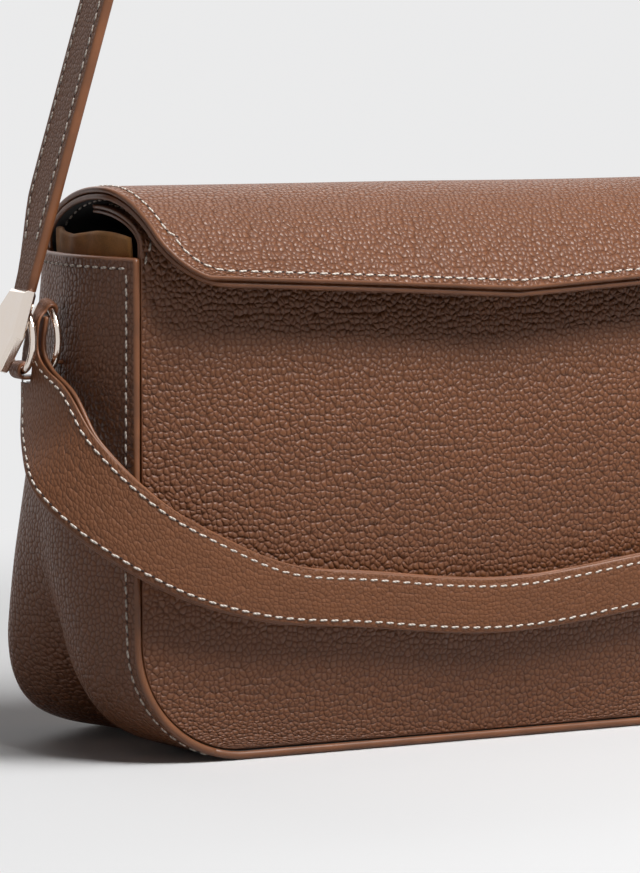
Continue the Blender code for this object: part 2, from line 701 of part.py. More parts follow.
def make_blocks():
    """Faceted metal blocks at the strap's ends, each with a lug round its strap ring."""
    outline = [(-BLOCK_HALF_WIDTH, BLOCK_RISE), (BLOCK_HALF_WIDTH, BLOCK_RISE),
               (BLOCK_HALF_WIDTH, -BLOCK_SHOULDER), (BLOCK_TIP_HALF_WIDTH, -BLOCK_TIP),
               (-BLOCK_TIP_HALF_WIDTH, -BLOCK_TIP), (-BLOCK_HALF_WIDTH, -BLOCK_SHOULDER)]
    for key, side in SIDES.items():
        along = run_direction(side)
        out = run_outward(side)
        centre = block_centre(side)
        columns = (Vector((0, 1, 0)), along, out, centre)
        place = Matrix([[column[row] for column in columns] for row in range(3)] + [[0, 0, 0, 1]])
        block = outline_solid(side_name("strap_block", key), [outline], BLOCK_WALL, place, BRIGHT_METAL)
        facet = block.modifiers.new("facet", "BEVEL")
        facet.width = BLOCK_FACET
        facet.segments = 1
        facet.limit_method = "ANGLE"
        ring_top = Vector((side * STRAP_RING_X, RING_Y, RING_HEIGHT + RING_RADIUS))
        reach = Vector((0, LUG_HALF_WIDTH, 0))
        lug = cylinder(side_name("lug", key), ring_top - reach, ring_top + reach, LUG_RADIUS, BRIGHT_METAL)
        cut(block, lug, "UNION")
        groove = torus(side_name("ring_groove", key), (side * STRAP_RING_X, RING_Y, RING_HEIGHT),
                       RING_RADIUS, RING_WIRE_RADIUS + RING_RUNNING_GAP, BRIGHT_METAL)
        cut(block, groove)


def run_point(side, along, out):
    """Point of the strap's middle line on a run, by its distance from the block and its step outwards."""
    start = block_centre(side) + run_direction(side) * (BLOCK_RISE + CLEARANCE)
    return start + run_direction(side) * along + run_outward(side) * (out - STRAP_INSET)


RUN_TO_VERTEX = abs(run_point(-1, 0, 0).x) / math.sin(STRAP_LEAN)
RUN_TO_ARC = RUN_TO_VERTEX - (STRAP_APEX_RADIUS - STRAP_INSET) / math.tan(STRAP_LEAN)
APEX_CENTRE_Z = run_point(-1, RUN_TO_VERTEX, 0).z - (STRAP_APEX_RADIUS - STRAP_INSET) / math.sin(STRAP_LEAN)


def across_rows(points):
    """Rows of a strap's face across its width."""
    return [[Vector((point.x, RING_Y + across, point.z)) for across in (-STRAP_HALF_WIDTH, STRAP_HALF_WIDTH)]
            for point in points]


def long_rows(out):
    """Rows of the long strap from the left block over the apex to the buckle, at a step out."""
    points = [run_point(-1, 0, out), run_point(-1, RUN_TO_ARC / 2, out)]
    start_angle = math.pi - STRAP_LEAN
    for step in range(13):
        angle = start_angle - (math.pi - 2 * STRAP_LEAN) * step / 12
        reach = STRAP_APEX_RADIUS - STRAP_INSET + out
        points.append(Vector((reach * math.cos(angle), RING_Y, APEX_CENTRE_Z + reach * math.sin(angle))))
    points.append(run_point(1, RUN_TO_ARC / 2, out))
    base_bar = BUCKLE_ALONG + BUCKLE_HALF_LENGTH
    points.append(run_point(1, base_bar + BUCKLE_WIRE_RADIUS + CLEARANCE, out))
    return across_rows(points)


def short_rows(out):
    """Rows of the short strap from the right block through the buckle and over the long strap's end."""
    lifted = STRAP_WALL + CLEARANCE
    start = BUCKLE_ALONG - BUCKLE_HALF_LENGTH / 2
    points = [run_point(1, 0, out)]
    for step in range(9):
        points.append(run_point(1, start + BUCKLE_HALF_LENGTH * step / 8, out + lifted * smooth(step / 8)))
    points.append(run_point(1, BUCKLE_ALONG + TAIL_LENGTH, out + lifted))
    return across_rows(points)


def make_strap():
    """Long strap from the left block over the apex to the buckle, and the short strap on the right."""
    long_strap = sheet("strap_long", long_rows, -STRAP_WALL / 2, STRAP_WALL, BROWN_LEATHER)
    short_strap = sheet("strap_short", short_rows, -STRAP_WALL / 2, STRAP_WALL, BROWN_LEATHER)
    middle = run_point(1, BUCKLE_ALONG, (STRAP_WALL + CLEARANCE) / 2)
    slot = box("prong_slot", (-PRONG_SLOT_HALF_WIDTH, -PRONG_SLOT_BEFORE, -2 * STRAP_WALL),
               (PRONG_SLOT_HALF_WIDTH, PRONG_SLOT_AFTER, 2 * STRAP_WALL), BROWN_LEATHER)
    slot.data.transform(run_place(run_direction(1), run_outward(1), middle))
    cut(short_strap, slot)
    cut(long_strap, slot)


def run_place(up, out, origin):
    """Matrix from a flat outline on the right run, across then up, to its place."""
    columns = (Vector((0, 1, 0)), up, out, origin)
    return Matrix([[column[row] for column in columns] for row in range(3)] + [[0, 0, 0, 1]])


def tube(name, points, radius, finish, cyclic=False, resolution=2):
    """Round wire along a poly line, made a mesh."""
    curve = bpy.data.curves.new(name, "CURVE")
    curve.dimensions = "3D"
    curve.bevel_depth = radius
    curve.bevel_resolution = resolution
    curve.use_fill_caps = True
    spline = curve.splines.new("POLY")
    spline.points.add(len(points) - 1)
    for place, point in zip(spline.points, points):
        place.co = (*point, 1)
    spline.use_cyclic_u = cyclic
    made = bpy.data.objects.new(name, curve)
    made.data.materials.append(finish)
    BAG.objects.link(made)
    return made


def make_prong(lift):
    """Prong: an eye on the buckle's base bar, a neck through the straps' slot and an arm over the far bar."""
    base = run_point(1, BUCKLE_ALONG + BUCKLE_HALF_LENGTH, 0)
    place = run_place(run_direction(1), run_outward(1), base)
    eye = BUCKLE_WIRE_RADIUS + CLEARANCE
    rim = eye + PRONG_EYE_WALL
    under = lift + BUCKLE_WIRE_RADIUS + CLEARANCE
    top = under + PRONG_THICKNESS
    tip = 2 * BUCKLE_HALF_LENGTH + PRONG_OVERHANG
    half = Vector((0, PRONG_HALF_WIDTH, 0))
    prong = cylinder("buckle_prong", base - half, base + half, rim, BRIGHT_METAL)
    neck = box("prong_neck", (-PRONG_HALF_WIDTH, -rim, 0), (PRONG_HALF_WIDTH, -eye, top), BRIGHT_METAL)
    arm = box("prong_arm", (-PRONG_HALF_WIDTH, -tip, under), (PRONG_HALF_WIDTH, -eye, top), BRIGHT_METAL)
    for step in (neck, arm):
        step.data.transform(place)
        cut(prong, step, "UNION")
    over = Vector((0, PRONG_HALF_WIDTH + CUT_OVERRUN, 0))
    cut(prong, cylinder("prong_hole", base - over, base + over, eye, BRIGHT_METAL))


def make_buckle():
    """Buckle frame on the right run, its prong and the sliding keeper."""
    lift = STRAP_WALL / 2 + CLEARANCE + BUCKLE_WIRE_RADIUS
    corners = []
    for along_side, across_side in ((-1, -1), (-1, 1), (1, 1), (1, -1)):
        out = lift if along_side < 0 else 0
        corner = run_point(1, BUCKLE_ALONG + along_side * BUCKLE_HALF_LENGTH, out)
        corners.append(corner + Vector((0, across_side * BUCKLE_HALF_WIDTH, 0)))
    rounded = []
    for index, corner in enumerate(corners):
        before = (corners[index - 1] - corner).normalized() * BUCKLE_WIRE_RADIUS
        after = (corners[(index + 1) % 4] - corner).normalized() * BUCKLE_WIRE_RADIUS
        rounded += [corner + before, corner + after]
    tube("buckle_frame", rounded, BUCKLE_WIRE_RADIUS, BRIGHT_METAL, cyclic=True)
    make_prong(lift)
    lifted = STRAP_WALL + CLEARANCE
    inner_half_width = STRAP_HALF_WIDTH + CLEARANCE
    low = -STRAP_WALL / 2 - CLEARANCE
    high = lifted + STRAP_WALL / 2 + CLEARANCE
    inner = [(-inner_half_width, low), (inner_half_width, low),
             (inner_half_width, high), (-inner_half_width, high)]
    grow = KEEPER_WALL
    outer = [(-inner_half_width - grow, low - grow), (inner_half_width + grow, low - grow),
             (inner_half_width + grow, high + grow), (-inner_half_width - grow, high + grow)]
    place = run_place(run_outward(1), run_direction(1), run_point(1, KEEPER_ALONG, 0))
    outline_solid("strap_keeper", [outer, inner], 2 * KEEPER_HALF_LENGTH, place, BROWN_LEATHER)


def handle_stations():
    """Places of the handle's middle line on the left, with its half width and its turn there."""
    stations = []
    for span_share, out_share, forward_share, up_share, width_share, turn_share in HANDLE_ROW_SHARES:
        middle = Vector((-HANDLE_RING_X * span_share - HANDLE_STANDOFF * out_share,
                         RING_Y + (HANDLE_FRONT_Y - RING_Y) * forward_share,
                         RING_HEIGHT - HANDLE_DROP * (1 - up_share)))
        stations.append((middle, HANDLE_HALF_WIDTH * width_share, math.pi / 2 * turn_share))
    return stations


def band_rows(offset):
    """Rows across the left half of the handle band, its face turning from the side to the front."""
    stations = handle_stations()
    middles = [middle for middle, half, turn in stations]
    middles.append(Vector((-middles[-2].x, middles[-2].y, middles[-2].z)))
    made = []
    for index, (middle, half, turn) in enumerate(stations):
        tangent = (middles[index + 1] - middles[max(index - 1, 0)]).normalized()
        out = Vector((-math.cos(turn), -math.sin(turn), 0))
        out = (out - tangent * out.dot(tangent)).normalized()
        across = tangent.cross(out).normalized()
        made.append([middle - out * offset + across * step * half for step in (1, 0, -1)])
    return made


def loop_rows(offset):
    """Rows of the handle's folded end, round the wire of its ring."""
    reach = RING_RADIUS - HANDLE_LOOP_DROP
    out = Vector((0, -math.cos(HANDLE_LOOP_ANGLE), math.sin(HANDLE_LOOP_ANGLE)))
    across = Vector((0, -math.sin(HANDLE_LOOP_ANGLE), -math.cos(HANDLE_LOOP_ANGLE)))
    centre = Vector((-HANDLE_RING_X, RING_Y, RING_HEIGHT)) + out * reach
    radius = HANDLE_LOOP_RADIUS - offset
    made = []
    for step in range(9):
        angle = HANDLE_LOOP_START + (math.pi - HANDLE_LOOP_START) * step / 8
        point = centre + Vector((math.cos(angle) * radius, 0, 0)) + out * math.sin(angle) * radius
        made.append([point - across * step_share * HANDLE_END_HALF_WIDTH for step_share in (1, 0, -1)])
    return made


def mirrored_rows(half_rows):
    """Rows of the left half followed by their mirror image."""
    other = [[Vector((-point.x, point.y, point.z)) for point in row] for row in half_rows[:-1]]
    return half_rows + list(reversed(other))


def make_handle():
    """Handle band: the outer ply folds round the ring at each end, the backing lies behind it."""
    sheet("handle_leather", lambda offset: mirrored_rows(loop_rows(offset) + band_rows(offset)),
          -HANDLE_PLY, HANDLE_PLY, BROWN_LEATHER)
    sheet("handle_backing", lambda offset: mirrored_rows(band_rows(offset)), CLEARANCE,
          HANDLE_BACKING_PLY, EDGE_LEATHER)


make_front()
make_back()
make_gussets()
make_base()
make_pocket()
make_flap()
make_snap()
make_rings()
make_tabs()
make_blocks()
make_strap()
make_buckle()
make_handle()
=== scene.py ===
import math
from functools import partial
import bpy
import numpy as np
from bpy.props import FloatProperty, FloatVectorProperty, PointerProperty
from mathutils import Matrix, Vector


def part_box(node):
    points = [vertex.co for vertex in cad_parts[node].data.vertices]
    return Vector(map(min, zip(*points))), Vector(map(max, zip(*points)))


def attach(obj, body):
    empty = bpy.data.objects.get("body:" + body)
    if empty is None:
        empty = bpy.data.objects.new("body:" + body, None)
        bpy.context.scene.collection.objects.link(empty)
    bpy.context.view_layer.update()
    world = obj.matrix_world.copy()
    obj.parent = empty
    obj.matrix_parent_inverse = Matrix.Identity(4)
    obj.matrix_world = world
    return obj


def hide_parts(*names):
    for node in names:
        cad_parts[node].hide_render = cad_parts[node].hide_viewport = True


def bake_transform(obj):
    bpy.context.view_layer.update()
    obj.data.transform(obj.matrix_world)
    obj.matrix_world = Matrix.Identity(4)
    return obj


bl_info = {
    "name": "Crossbody Bag",
    "version": (1, 0, 0),
    "blender": (4, 5, 0),
    "location": "3D View > Sidebar > Bag",
    "description": "Leather, stitching, linings and metalwork over the packed model of a flap-over bag",
    "category": "Object",
}

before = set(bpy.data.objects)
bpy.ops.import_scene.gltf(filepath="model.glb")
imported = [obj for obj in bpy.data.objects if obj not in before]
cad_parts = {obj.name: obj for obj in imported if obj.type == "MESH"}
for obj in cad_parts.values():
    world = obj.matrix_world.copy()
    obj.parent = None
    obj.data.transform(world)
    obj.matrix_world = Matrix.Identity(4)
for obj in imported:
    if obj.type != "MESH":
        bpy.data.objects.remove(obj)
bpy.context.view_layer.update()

SIDES = {"left": -1, "right": 1}
GAP = 0.0003
X_AXIS = np.array([1.0, 0.0, 0.0])
Y_AXIS = np.array([0.0, 1.0, 0.0])

# Body of the bag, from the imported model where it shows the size
FRONT_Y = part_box("base_panel")[0][1]
BACK_Y = -FRONT_Y
HEM_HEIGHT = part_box("back_panel")[1][2]
HALF_WIDTH = 0.138
BACK_LEAN = 0.0165
CORNER_RADIUS = 0.042
BAND_WALL = 0.0030
BAND_LEATHER = BAND_WALL - 0.0002
LAP_ANGLE = math.radians(17.5)
RIDGE_TOP = 0.0085
RIDGE_MIDDLE = 0.0155
RIDGE_HEIGHT_SHARE = 0.42
PANEL_INSET = 0.0036
PANEL_PROUD = 0.0006
PANEL_WALL = 0.0016
PANEL_BULGE = 0.009
PANEL_BULGE_POWER = 2.6
PANEL_WAVES = 0.0009
RIDGE_POWER = 1.6
GUSSET_WAVES = 0.0005
GUSSET_EDGE_SHARE = 0.10
PLY_WALL = 0.0021

# Lobes and crease at the foot of each gusset, by height: how far the rear and the front lobe stand out, and
# how far the crease between them is drawn in
LOBE_HEIGHTS = (0.0, 0.004, 0.009, 0.014, 0.020, 0.027, 0.036, 0.046, 0.063, 0.088, 0.120, 0.150, 0.175)
REAR_LOBE = (0.0, 0.0030, 0.0082, 0.0122, 0.0142, 0.0141, 0.0124, 0.0102, 0.0068, 0.0036, 0.0018, 0.0028,
             0.0016)
FRONT_LOBE = (0.0, 0.0018, 0.0046, 0.0062, 0.0066, 0.0062, 0.0050, 0.0036, 0.0018, 0.0006, 0.0, 0.0, 0.0)
CREASE = (0.0, 0.0018, 0.0052, 0.0080, 0.0088, 0.0078, 0.0056, 0.0036, 0.0016, 0.0005, 0.0, 0.0, 0.0)
REAR_LOBE_SHARE = 0.80
FRONT_LOBE_SHARE = 0.27
CREASE_SHARE = 0.52
LOBE_SPREAD_SHARE = 0.17
CREASE_SPREAD_SHARE = 0.07

# How far the front panel bulges at each height
BULGE_HEIGHTS = (0.0, 0.010, 0.022, 0.036, 0.055, 0.078, 0.100, 0.118, 0.132, 0.144, 0.156, 0.178)
BULGE_SHARES = (0.0, 0.17, 0.36, 0.56, 0.76, 0.93, 1.0, 0.96, 0.80, 0.54, 0.24, 0.0)

# Rolled front edge
CURL_START = HEM_HEIGHT + 0.005
CURL_RISE = 0.0128
CURL_END_Y = FRONT_Y + 0.040
CURL_LENGTH = 0.044
ROLL_STITCHES_START = CURL_START - 0.007
ROLL_STITCHES_DRAWN = 0.009

# Facings and linings
FACING_FOOT = HEM_HEIGHT - 0.023
FACING_TOP = HEM_HEIGHT + 0.007
FACING_FRONT_INSET = 0.007
FACING_BACK_INSET = 0.0115
FACING_WALL = 0.0012
SUEDE_WALL = 0.0019
SUEDE_WAVE = 0.0004
SUEDE_TOP_WAVE = 0.0009
LINING_WALL = 0.0008
POCKET_TOP = FACING_FOOT - 0.010
POCKET_FLOOR = POCKET_TOP - 0.090
POCKET_HALF_WIDTH = 0.065
POCKET_GAP = 0.006
POCKET_HEM = 0.008
POCKET_HEM_WALL = 0.0005
FLOOR_CLOTH_WAVES = 0.0003

# Flap
CREST_Y = FRONT_Y + 0.026
CREST_HEIGHT = HEM_HEIGHT + 0.024
LIP_Y = FRONT_Y - 0.0225
LIP_HEIGHT = HEM_HEIGHT - 0.0125
FRONT_POWER = 2.3
POINT_DROP = 0.009
FLAP_CORNER = 0.020
FLAP_TAPER = 0.008
WIDEN_LENGTH = 0.015
LIP_STEP = 0.0015
WRAP_WAVES = 0.0004

# Rings, tabs and blocks
RING_LOW, RING_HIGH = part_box("handle_ring_left")
RING_Y = (RING_LOW[1] + RING_HIGH[1]) / 2
RING_HEIGHT = (RING_LOW[2] + RING_HIGH[2]) / 2
RING_WIRE = (RING_HIGH[0] - RING_LOW[0]) / 2
RING_RADIUS = (RING_HIGH[2] - RING_LOW[2]) / 2 - RING_WIRE
HANDLE_RING_X = -(RING_LOW[0] + RING_HIGH[0]) / 2
STRAP_RING_X = HANDLE_RING_X + 0.0092
BLOCK_X = STRAP_RING_X + 0.0035
BLOCK_HEIGHT = RING_HEIGHT + RING_RADIUS - 0.0044
BLOCK_HALF_WIDTH = 0.012
BLOCK_WALL = 0.0046
BLOCK_RISE = 0.0104
BLOCK_SHOULDER = 0.0065
BLOCK_TIP = 0.0185
BLOCK_TIP_HALF_WIDTH = 0.006
BLOCK_FACET = 0.0011
LUG_RADIUS = 0.0026
LUG_HALF_WIDTH = 0.0025
TAB_HALF_WIDTH = 0.0036
TAB_WALL = 0.0012
TAB_FOOT = RING_HEIGHT - 0.033
TAB_DEPTH_SHARE = 0.44
# Profile of the rivet's dome: share of its radius, and share of its height
RIVET_PROFILE = ((0.9, 0.0), (1.0, 0.2), (0.95, 0.5), (0.7, 0.85), (0.35, 1.0))
TAB_SLACK = 0.0006
TAB_LEAVES_BELOW = 0.004
# Where the tab turns out from the gusset: how far out and how far up from its level stretch
TAB_TURN = ((0.0006, -0.0012), (0.0026, 0.0), (0.006, 0.0))

# Shoulder strap
STRAP_LEAN = math.radians(16.6)
STRAP_INSET = 0.0004
STRAP_HALF_WIDTH = 0.010
STRAP_WALL = 0.0036
STRAP_NARROWING = 0.0095
STRAP_NARROWING_LENGTH = 0.036
APEX_RADIUS = 0.025
BUCKLE_ALONG = 0.175
BUCKLE_HALF_LENGTH = 0.010
BUCKLE_HALF_WIDTH = 0.013
BUCKLE_WIRE = 0.0015
BUCKLE_CORNER = 0.003
TAIL_LENGTH = 0.110
KEEPER_ALONG = BUCKLE_ALONG + 0.040
KEEPER_HALF_LENGTH = 0.004
KEEPER_WALL = 0.0012
KEEPER_POWER = 0.28
# Section of the keeper's leather: share of its half length, and share of its wall
KEEPER_PROFILE = ((1, 0.0), (1, 1.0), (0.6, 1.25), (-0.6, 1.25), (-1, 1.0), (-1, 0.0))
SLOT_ALONG = BUCKLE_ALONG + 0.0058
SLOT_HALF = np.array([0.0134, 0.0016, 0.012])
STRAP_STITCHES_KEPT = slice(3, -3)

# Handle
HANDLE_PLY = 0.0019
HANDLE_BACKING = 0.0016
HANDLE_DROP = 0.0961
HANDLE_STANDOFF = 0.0040
HANDLE_FRONT_Y = FRONT_Y + PANEL_PROUD - PANEL_BULGE - 0.0015 - HANDLE_BACKING - GAP
HANDLE_HALF_WIDTH = 0.0149
# Rows from the widening end to the middle: shares of the span, of the standoff, of the way forward and up, of
# the half width and of a quarter turn. The first row only gives the second its direction.
HANDLE_ROW_SHARES = [(1, 1.7, 0.337, 0.783, 0.86, 0.34), (1, 1.88, 0.72, 0.56, 1, 0.63),
                     (0.988, 0, 0.888, 0.436, 0.95, 0.8), (0.884, 0, 0.988, 0.306, 0.87, 0.925),
                     (0.75, 0, 1, 0.195, 0.85, 0.985), (0.568, 0, 1, 0.09, 0.69, 1),
                     (0.372, 0, 1, 0.061, 0.67, 1), (0.18, 0, 1, 0.02, 0.67, 1), (0, 0, 1, 0, 0.67, 1)]
# The handle's widening ends, outer face: front edge, then rear edge
HANDLE_END_EDGES = [((-0.1590, -0.0147, 0.1525), (-0.1588, -0.0066, 0.1520)),
                    ((-0.1595, -0.0144, 0.1482), (-0.1595, -0.0035, 0.1465)),
                    ((-0.1595, -0.0134, 0.1430), (-0.1597, -0.0010, 0.1410)),
                    ((-0.1595, -0.0155, 0.1385), (-0.1600, -0.0003, 0.1345)),
                    ((-0.1590, -0.0216, 0.1346), (-0.1612, -0.0025, 0.1280)),
                    ((-0.1585, -0.0282, 0.1327), (-0.1635, -0.0080, 0.1203)),
                    ((-0.1576, -0.0375, 0.1283), (-0.1665, -0.0138, 0.1130)),
                    ((-0.1555, -0.0459, 0.1184), (-0.1700, -0.0250, 0.1035))]
HANDLE_TRIM = 0.0008
HANDLE_CROWN = 0.0005
# Lines of stitches: towards which edge, and how far from it
HANDLE_STITCH_INSETS = ((-1, 0.0030), (1, 0.0025))
HANDLE_STITCHES_KEPT = slice(16, -16)
# Box that notches the handle's right end for its tab, as two corners
NOTCH_CORNERS = np.array([(0.152, -0.0110, 0.1297), (0.170, 0.0030, 0.1356)])
LOOP_HALF_WIDTH = 0.0042
LOOP_ANGLE = math.radians(75)
LOOP_DROP = 0.0004
LOOP_WALL = 0.0010
LOOP_RADIUS = RING_WIRE + 0.0002 + LOOP_WALL - HANDLE_PLY
LOOP_THIN_LENGTH = 0.014
LOOP_THICKENS = 0.014
LOOP_START = math.radians(-105)

# Camera, found from the photograph's outlines
CAMERA_PLACE = (-0.7308, -1.34807, 0.25015)
CAMERA_AZIMUTH = math.radians(27.0)
CAMERA_PITCH = math.radians(5.46241)
CAMERA_FOCAL_PIXELS = 4250.0
PHOTO_HEIGHT = 873.0
SENSOR = 36.0

# Needle hole: length, width and depth
NEEDLE_HOLE = (0.0011, 0.00036, 0.00032)

# Lamps: name, place, point that each is aimed at, width, height and power
LAMPS = (("overhead", (0.25, -0.66, 1.36), (0, 0, 0.1), 0.6, 0.5, 17),
         ("key", (0.35, -0.95, 1.20), (0, 0, 0.14), 0.30, 0.30, 8),
         ("rear", (0.3, 1.7, 1.5), (0, 0, 0.1), 2.2, 1.4, 10))
WORLD_FILL = 0.04

# Floor: its rings, sides and height, the grey that bounced light meets, and where the backdrop takes over
FLOOR_REACHES = (0.001, 0.5, 1.5, 5.0, 14.0)
FLOOR_SIDES = 96
FLOOR_HEIGHT = -0.0002
FLOOR_BOUNCE = (0.25, 0.25, 0.25)
FLOOR_MELTS = (0.22, 0.62)


def length_property(name, description, default, least):
    """Property for a length."""
    return FloatProperty(name=name, description=description, default=default, min=least, unit="LENGTH")


def colour_property(name, description, default):
    """Property for a colour."""
    return FloatVectorProperty(name=name, description=description, subtype="COLOR", default=default, min=0,
                               max=1)


class BagSizes(bpy.types.PropertyGroup):
    """Sizes of the bag's finish."""
    stitch_pitch: length_property("Stitch pitch", "From one stitch to the next", 0.0043, 0.002)
    stitch_length: length_property("Stitch length", "Length of thread that shows", 0.0030, 0.001)
    thread_radius: length_property("Thread radius", "Half the thread's width", 0.00041, 0.0001)
    stitch_inset: length_property("Stitch inset", "From an edge to its line of stitches", 0.0030, 0.001)
    grain: length_property("Grain size", "Width of a pebble of the leather's grain", 0.0019, 0.0005)


class BagColours(bpy.types.PropertyGroup):
    """Colours of the bag's finishes, as linear values."""
    leather: colour_property("Leather", "Raised grain", (0.204, 0.073, 0.025))
    # The crease colour is painted shade: it darkens the grain's valleys, where shade falls.
    crease: colour_property("Crease", "Valleys of the grain", (0.130, 0.038, 0.010))
    edge: colour_property("Edge paint", "Painted edges", (0.205, 0.076, 0.030))
    thread: colour_property("Thread", "Stitches", (0.93, 0.83, 0.73))
    facing: colour_property("Facing", "Suede strip inside the gussets", (0.60, 0.27, 0.075))
    lining: colour_property("Lining", "Cloth inside", (0.012, 0.012, 0.013))
    metal: colour_property("Metal", "Rings, blocks and buckle", (0.80, 0.72, 0.66))
    backdrop: colour_property("Backdrop", "Floor and background", (0.828, 0.828, 0.832))


def arithmetic(operation):
    """Operator methods of one Math node operation: plain, then reflected."""
    def plain(self, other):
        return self.math(operation, self, other)

    def reflected(self, other):
        return self.math(operation, other, self)

    return plain, reflected


class Value:
    """A shader output that takes arithmetic with numbers and other outputs."""
    __add__, __radd__ = arithmetic("ADD")
    __sub__, __rsub__ = arithmetic("SUBTRACT")
    __mul__, __rmul__ = arithmetic("MULTIPLY")
    __truediv__, __rtruediv__ = arithmetic("DIVIDE")
    __pow__, __rpow__ = arithmetic("POWER")

    def __init__(self, tree, socket):
        self.tree = tree
        self.socket = socket

    def math(self, operation, *items):
        """Math node fed with items, each a number or an output."""
        node = self.tree.nodes.new("ShaderNodeMath")
        node.operation = operation
        for slot, item in zip(node.inputs, items):
            if isinstance(item, Value):
                self.tree.links.new(item.socket, slot)
            else:
                slot.default_value = item
        return Value(self.tree, node.outputs[0])


class Nodes:
    """A node tree being wired up."""

    def __init__(self, tree):
        self.tree = tree

    def set(self, node, sockets):
        """Gives a node's sockets their values or links."""
        for key, item in sockets.items():
            slot = node.inputs[key.replace("_", " ") if isinstance(key, str) else key]
            if isinstance(item, Value):
                self.tree.links.new(item.socket, slot)
            elif hasattr(slot.default_value, "__len__") and len(slot.default_value) == 4 and len(item) == 3:
                slot.default_value = (*item, 1.0)
            else:
                slot.default_value = item

    def node(self, kind, settings=None, sockets=None, output=0):
        """Any node: its settings first, then its sockets; returns one output."""
        node = self.tree.nodes.new("ShaderNode" + kind)
        for key, item in (settings or {}).items():
            setattr(node, key, item)
        self.set(node, sockets or {})
        return Value(self.tree, node.outputs[output])

    def background_seen(self):
        """1 for a ray from the camera, off a glossy surface or through glass, which sees the backdrop."""
        kinds = ("Is Camera Ray", "Is Glossy Ray", "Is Transmission Ray")
        camera, glossy, through = (self.node("LightPath", {}, {}, kind) for kind in kinds)
        return camera + glossy + through

    def output(self, name, shader):
        """Links a shader to the tree's output."""
        self.tree.links.new(shader.socket, self.tree.nodes[name].inputs["Surface"])


class Finish(Nodes):
    """A material being wired up."""

    def __init__(self, name, **uniform):
        self.material = bpy.data.materials.new(name)
        self.material.use_nodes = True
        super().__init__(self.material.node_tree)
        self.shader = self.tree.nodes["Principled BSDF"]
        self.set(self.shader, uniform)

    def surface(self, **sockets):
        """Feeds the shader."""
        self.set(self.shader, sockets)
        return self.material

    def coordinates(self, kind="UV", scale=(1.0, 1.0, 1.0)):
        """Coordinates of a kind, scaled."""
        return self.node("Mapping", {}, {"Vector": self.node("TexCoord", {}, {}, kind), "Scale": scale})

    def noise(self, vector, scale, detail=2.0, roughness=0.5, output=0):
        """Noise texture."""
        return self.node("TexNoise", {}, {"Vector": vector, "Scale": scale, "Detail": detail,
                                          "Roughness": roughness}, output)

    def ease(self, value, low, high):
        """Smooth step from 0 at one value to 1 at another."""
        return self.node("MapRange", {"interpolation_type": "SMOOTHSTEP"},
                         {"Value": value, "From Min": low, "From Max": high})

    def mix(self, share, first, second):
        """Mixes two colours."""
        return self.node("Mix", {"data_type": "RGBA"}, {0: share, 6: first, 7: second}, 2)

    def bump(self, height, distance):
        """Normal raised by a height."""
        return self.node("Bump", {}, {"Height": height, "Distance": distance, "Strength": 1.0})


def scaled(colour, share):
    """A colour times a share, held at 1."""
    return tuple(min(1.0, channel * share) for channel in colour)


def colours():
    """Colours set in the panel."""
    return bpy.context.scene.bag_colours


def sizes():
    """Sizes set in the panel."""
    return bpy.context.scene.bag_sizes


MADE = {}


def finish_named(name):
    """A finish by name, made the first time it is asked for."""
    if name not in MADE:
        MADE[name] = FINISHES[name](name)
    return MADE[name]


def grained_leather(name, grain_share=1.0, depth=0.00056, shine=0.29, contrast=1.0):
    """Pebbled leather: domed cells of slightly uneven height, soft valleys darkened with painted shade, and
    fine wrinkles.
    """
    made = Finish(name, Specular_IOR_Level=0.5)
    cell = sizes().grain * grain_share
    flat = made.coordinates("UV", (1.0 / cell, 0.92 / cell, 1.0))
    drift = made.noise(flat, 0.45, 2.0, 0.5, 1)
    centred = made.node("VectorMath", {"operation": "SUBTRACT"}, {0: drift, 1: (0.5, 0.5, 0.5)})
    warped = made.node("VectorMath", {"operation": "MULTIPLY_ADD"}, {0: centred, 1: (1.1, 1.1, 0.0), 2: flat})
    cells = {"Vector": warped, "Scale": 1.0, "Randomness": 0.82}
    edge = made.node("TexVoronoi", {"voronoi_dimensions": "2D", "feature": "DISTANCE_TO_EDGE"}, cells)
    smooth = made.node("TexVoronoi", {"voronoi_dimensions": "2D", "feature": "SMOOTH_F1"},
                       {**cells, "Smoothness": 0.35})
    tint = made.node("TexVoronoi", {"voronoi_dimensions": "2D"}, cells, 1)
    tone = made.node("SeparateColor", {}, {"Color": tint})
    dome = 1.0 - smooth * smooth * 1.6
    valley = made.ease(edge, 0.0, 0.30)
    wrinkle = made.noise(flat, 2.6, 3.0, 0.6)
    swell = made.noise(flat, 0.05, 2.0, 0.5)
    height = dome * 0.86 + valley * 0.18 + tone * 0.14 + wrinkle * 0.12
    shade = 0.86 + tone * 0.10 + swell * 0.20 + wrinkle * 0.06
    top = tuple(colours().leather)
    # Towards the cell edges the colour goes to the crease colour: painted shade in the grain's valleys.
    low = tuple(a + (b - a) * contrast for a, b in zip(top, colours().crease))
    toned = made.node("VectorMath", {"operation": "SCALE"}, {0: made.mix(valley, low, top), "Scale": shade})
    rough = shine + 0.26 - valley * 0.22 + wrinkle * 0.10
    return made.surface(Base_Color=toned, Roughness=rough, Normal=made.bump(height, depth))


def fine_leather(name):
    """Leather pressed flatter, with smaller and shallower grain."""
    return grained_leather(name, 0.80, 0.00022, 0.36, 0.6)


def painted_edge(name):
    """Edge paint: smooth, with slow waves and a slightly worn top."""
    made = Finish(name, Specular_IOR_Level=0.5)
    flat = made.coordinates("Object")
    slow = made.noise(flat, 90.0, 3.0)
    fine = made.noise(flat, 900.0, 2.0)
    paint = tuple(colours().edge)
    worn = scaled(paint, 1.35)
    colour = made.mix(made.ease(slow, 0.35, 0.75), paint, worn)
    return made.surface(Base_Color=colour, Roughness=0.30 + fine * 0.18,
                        Normal=made.bump(slow * 0.6 + fine * 0.4, 0.00010))


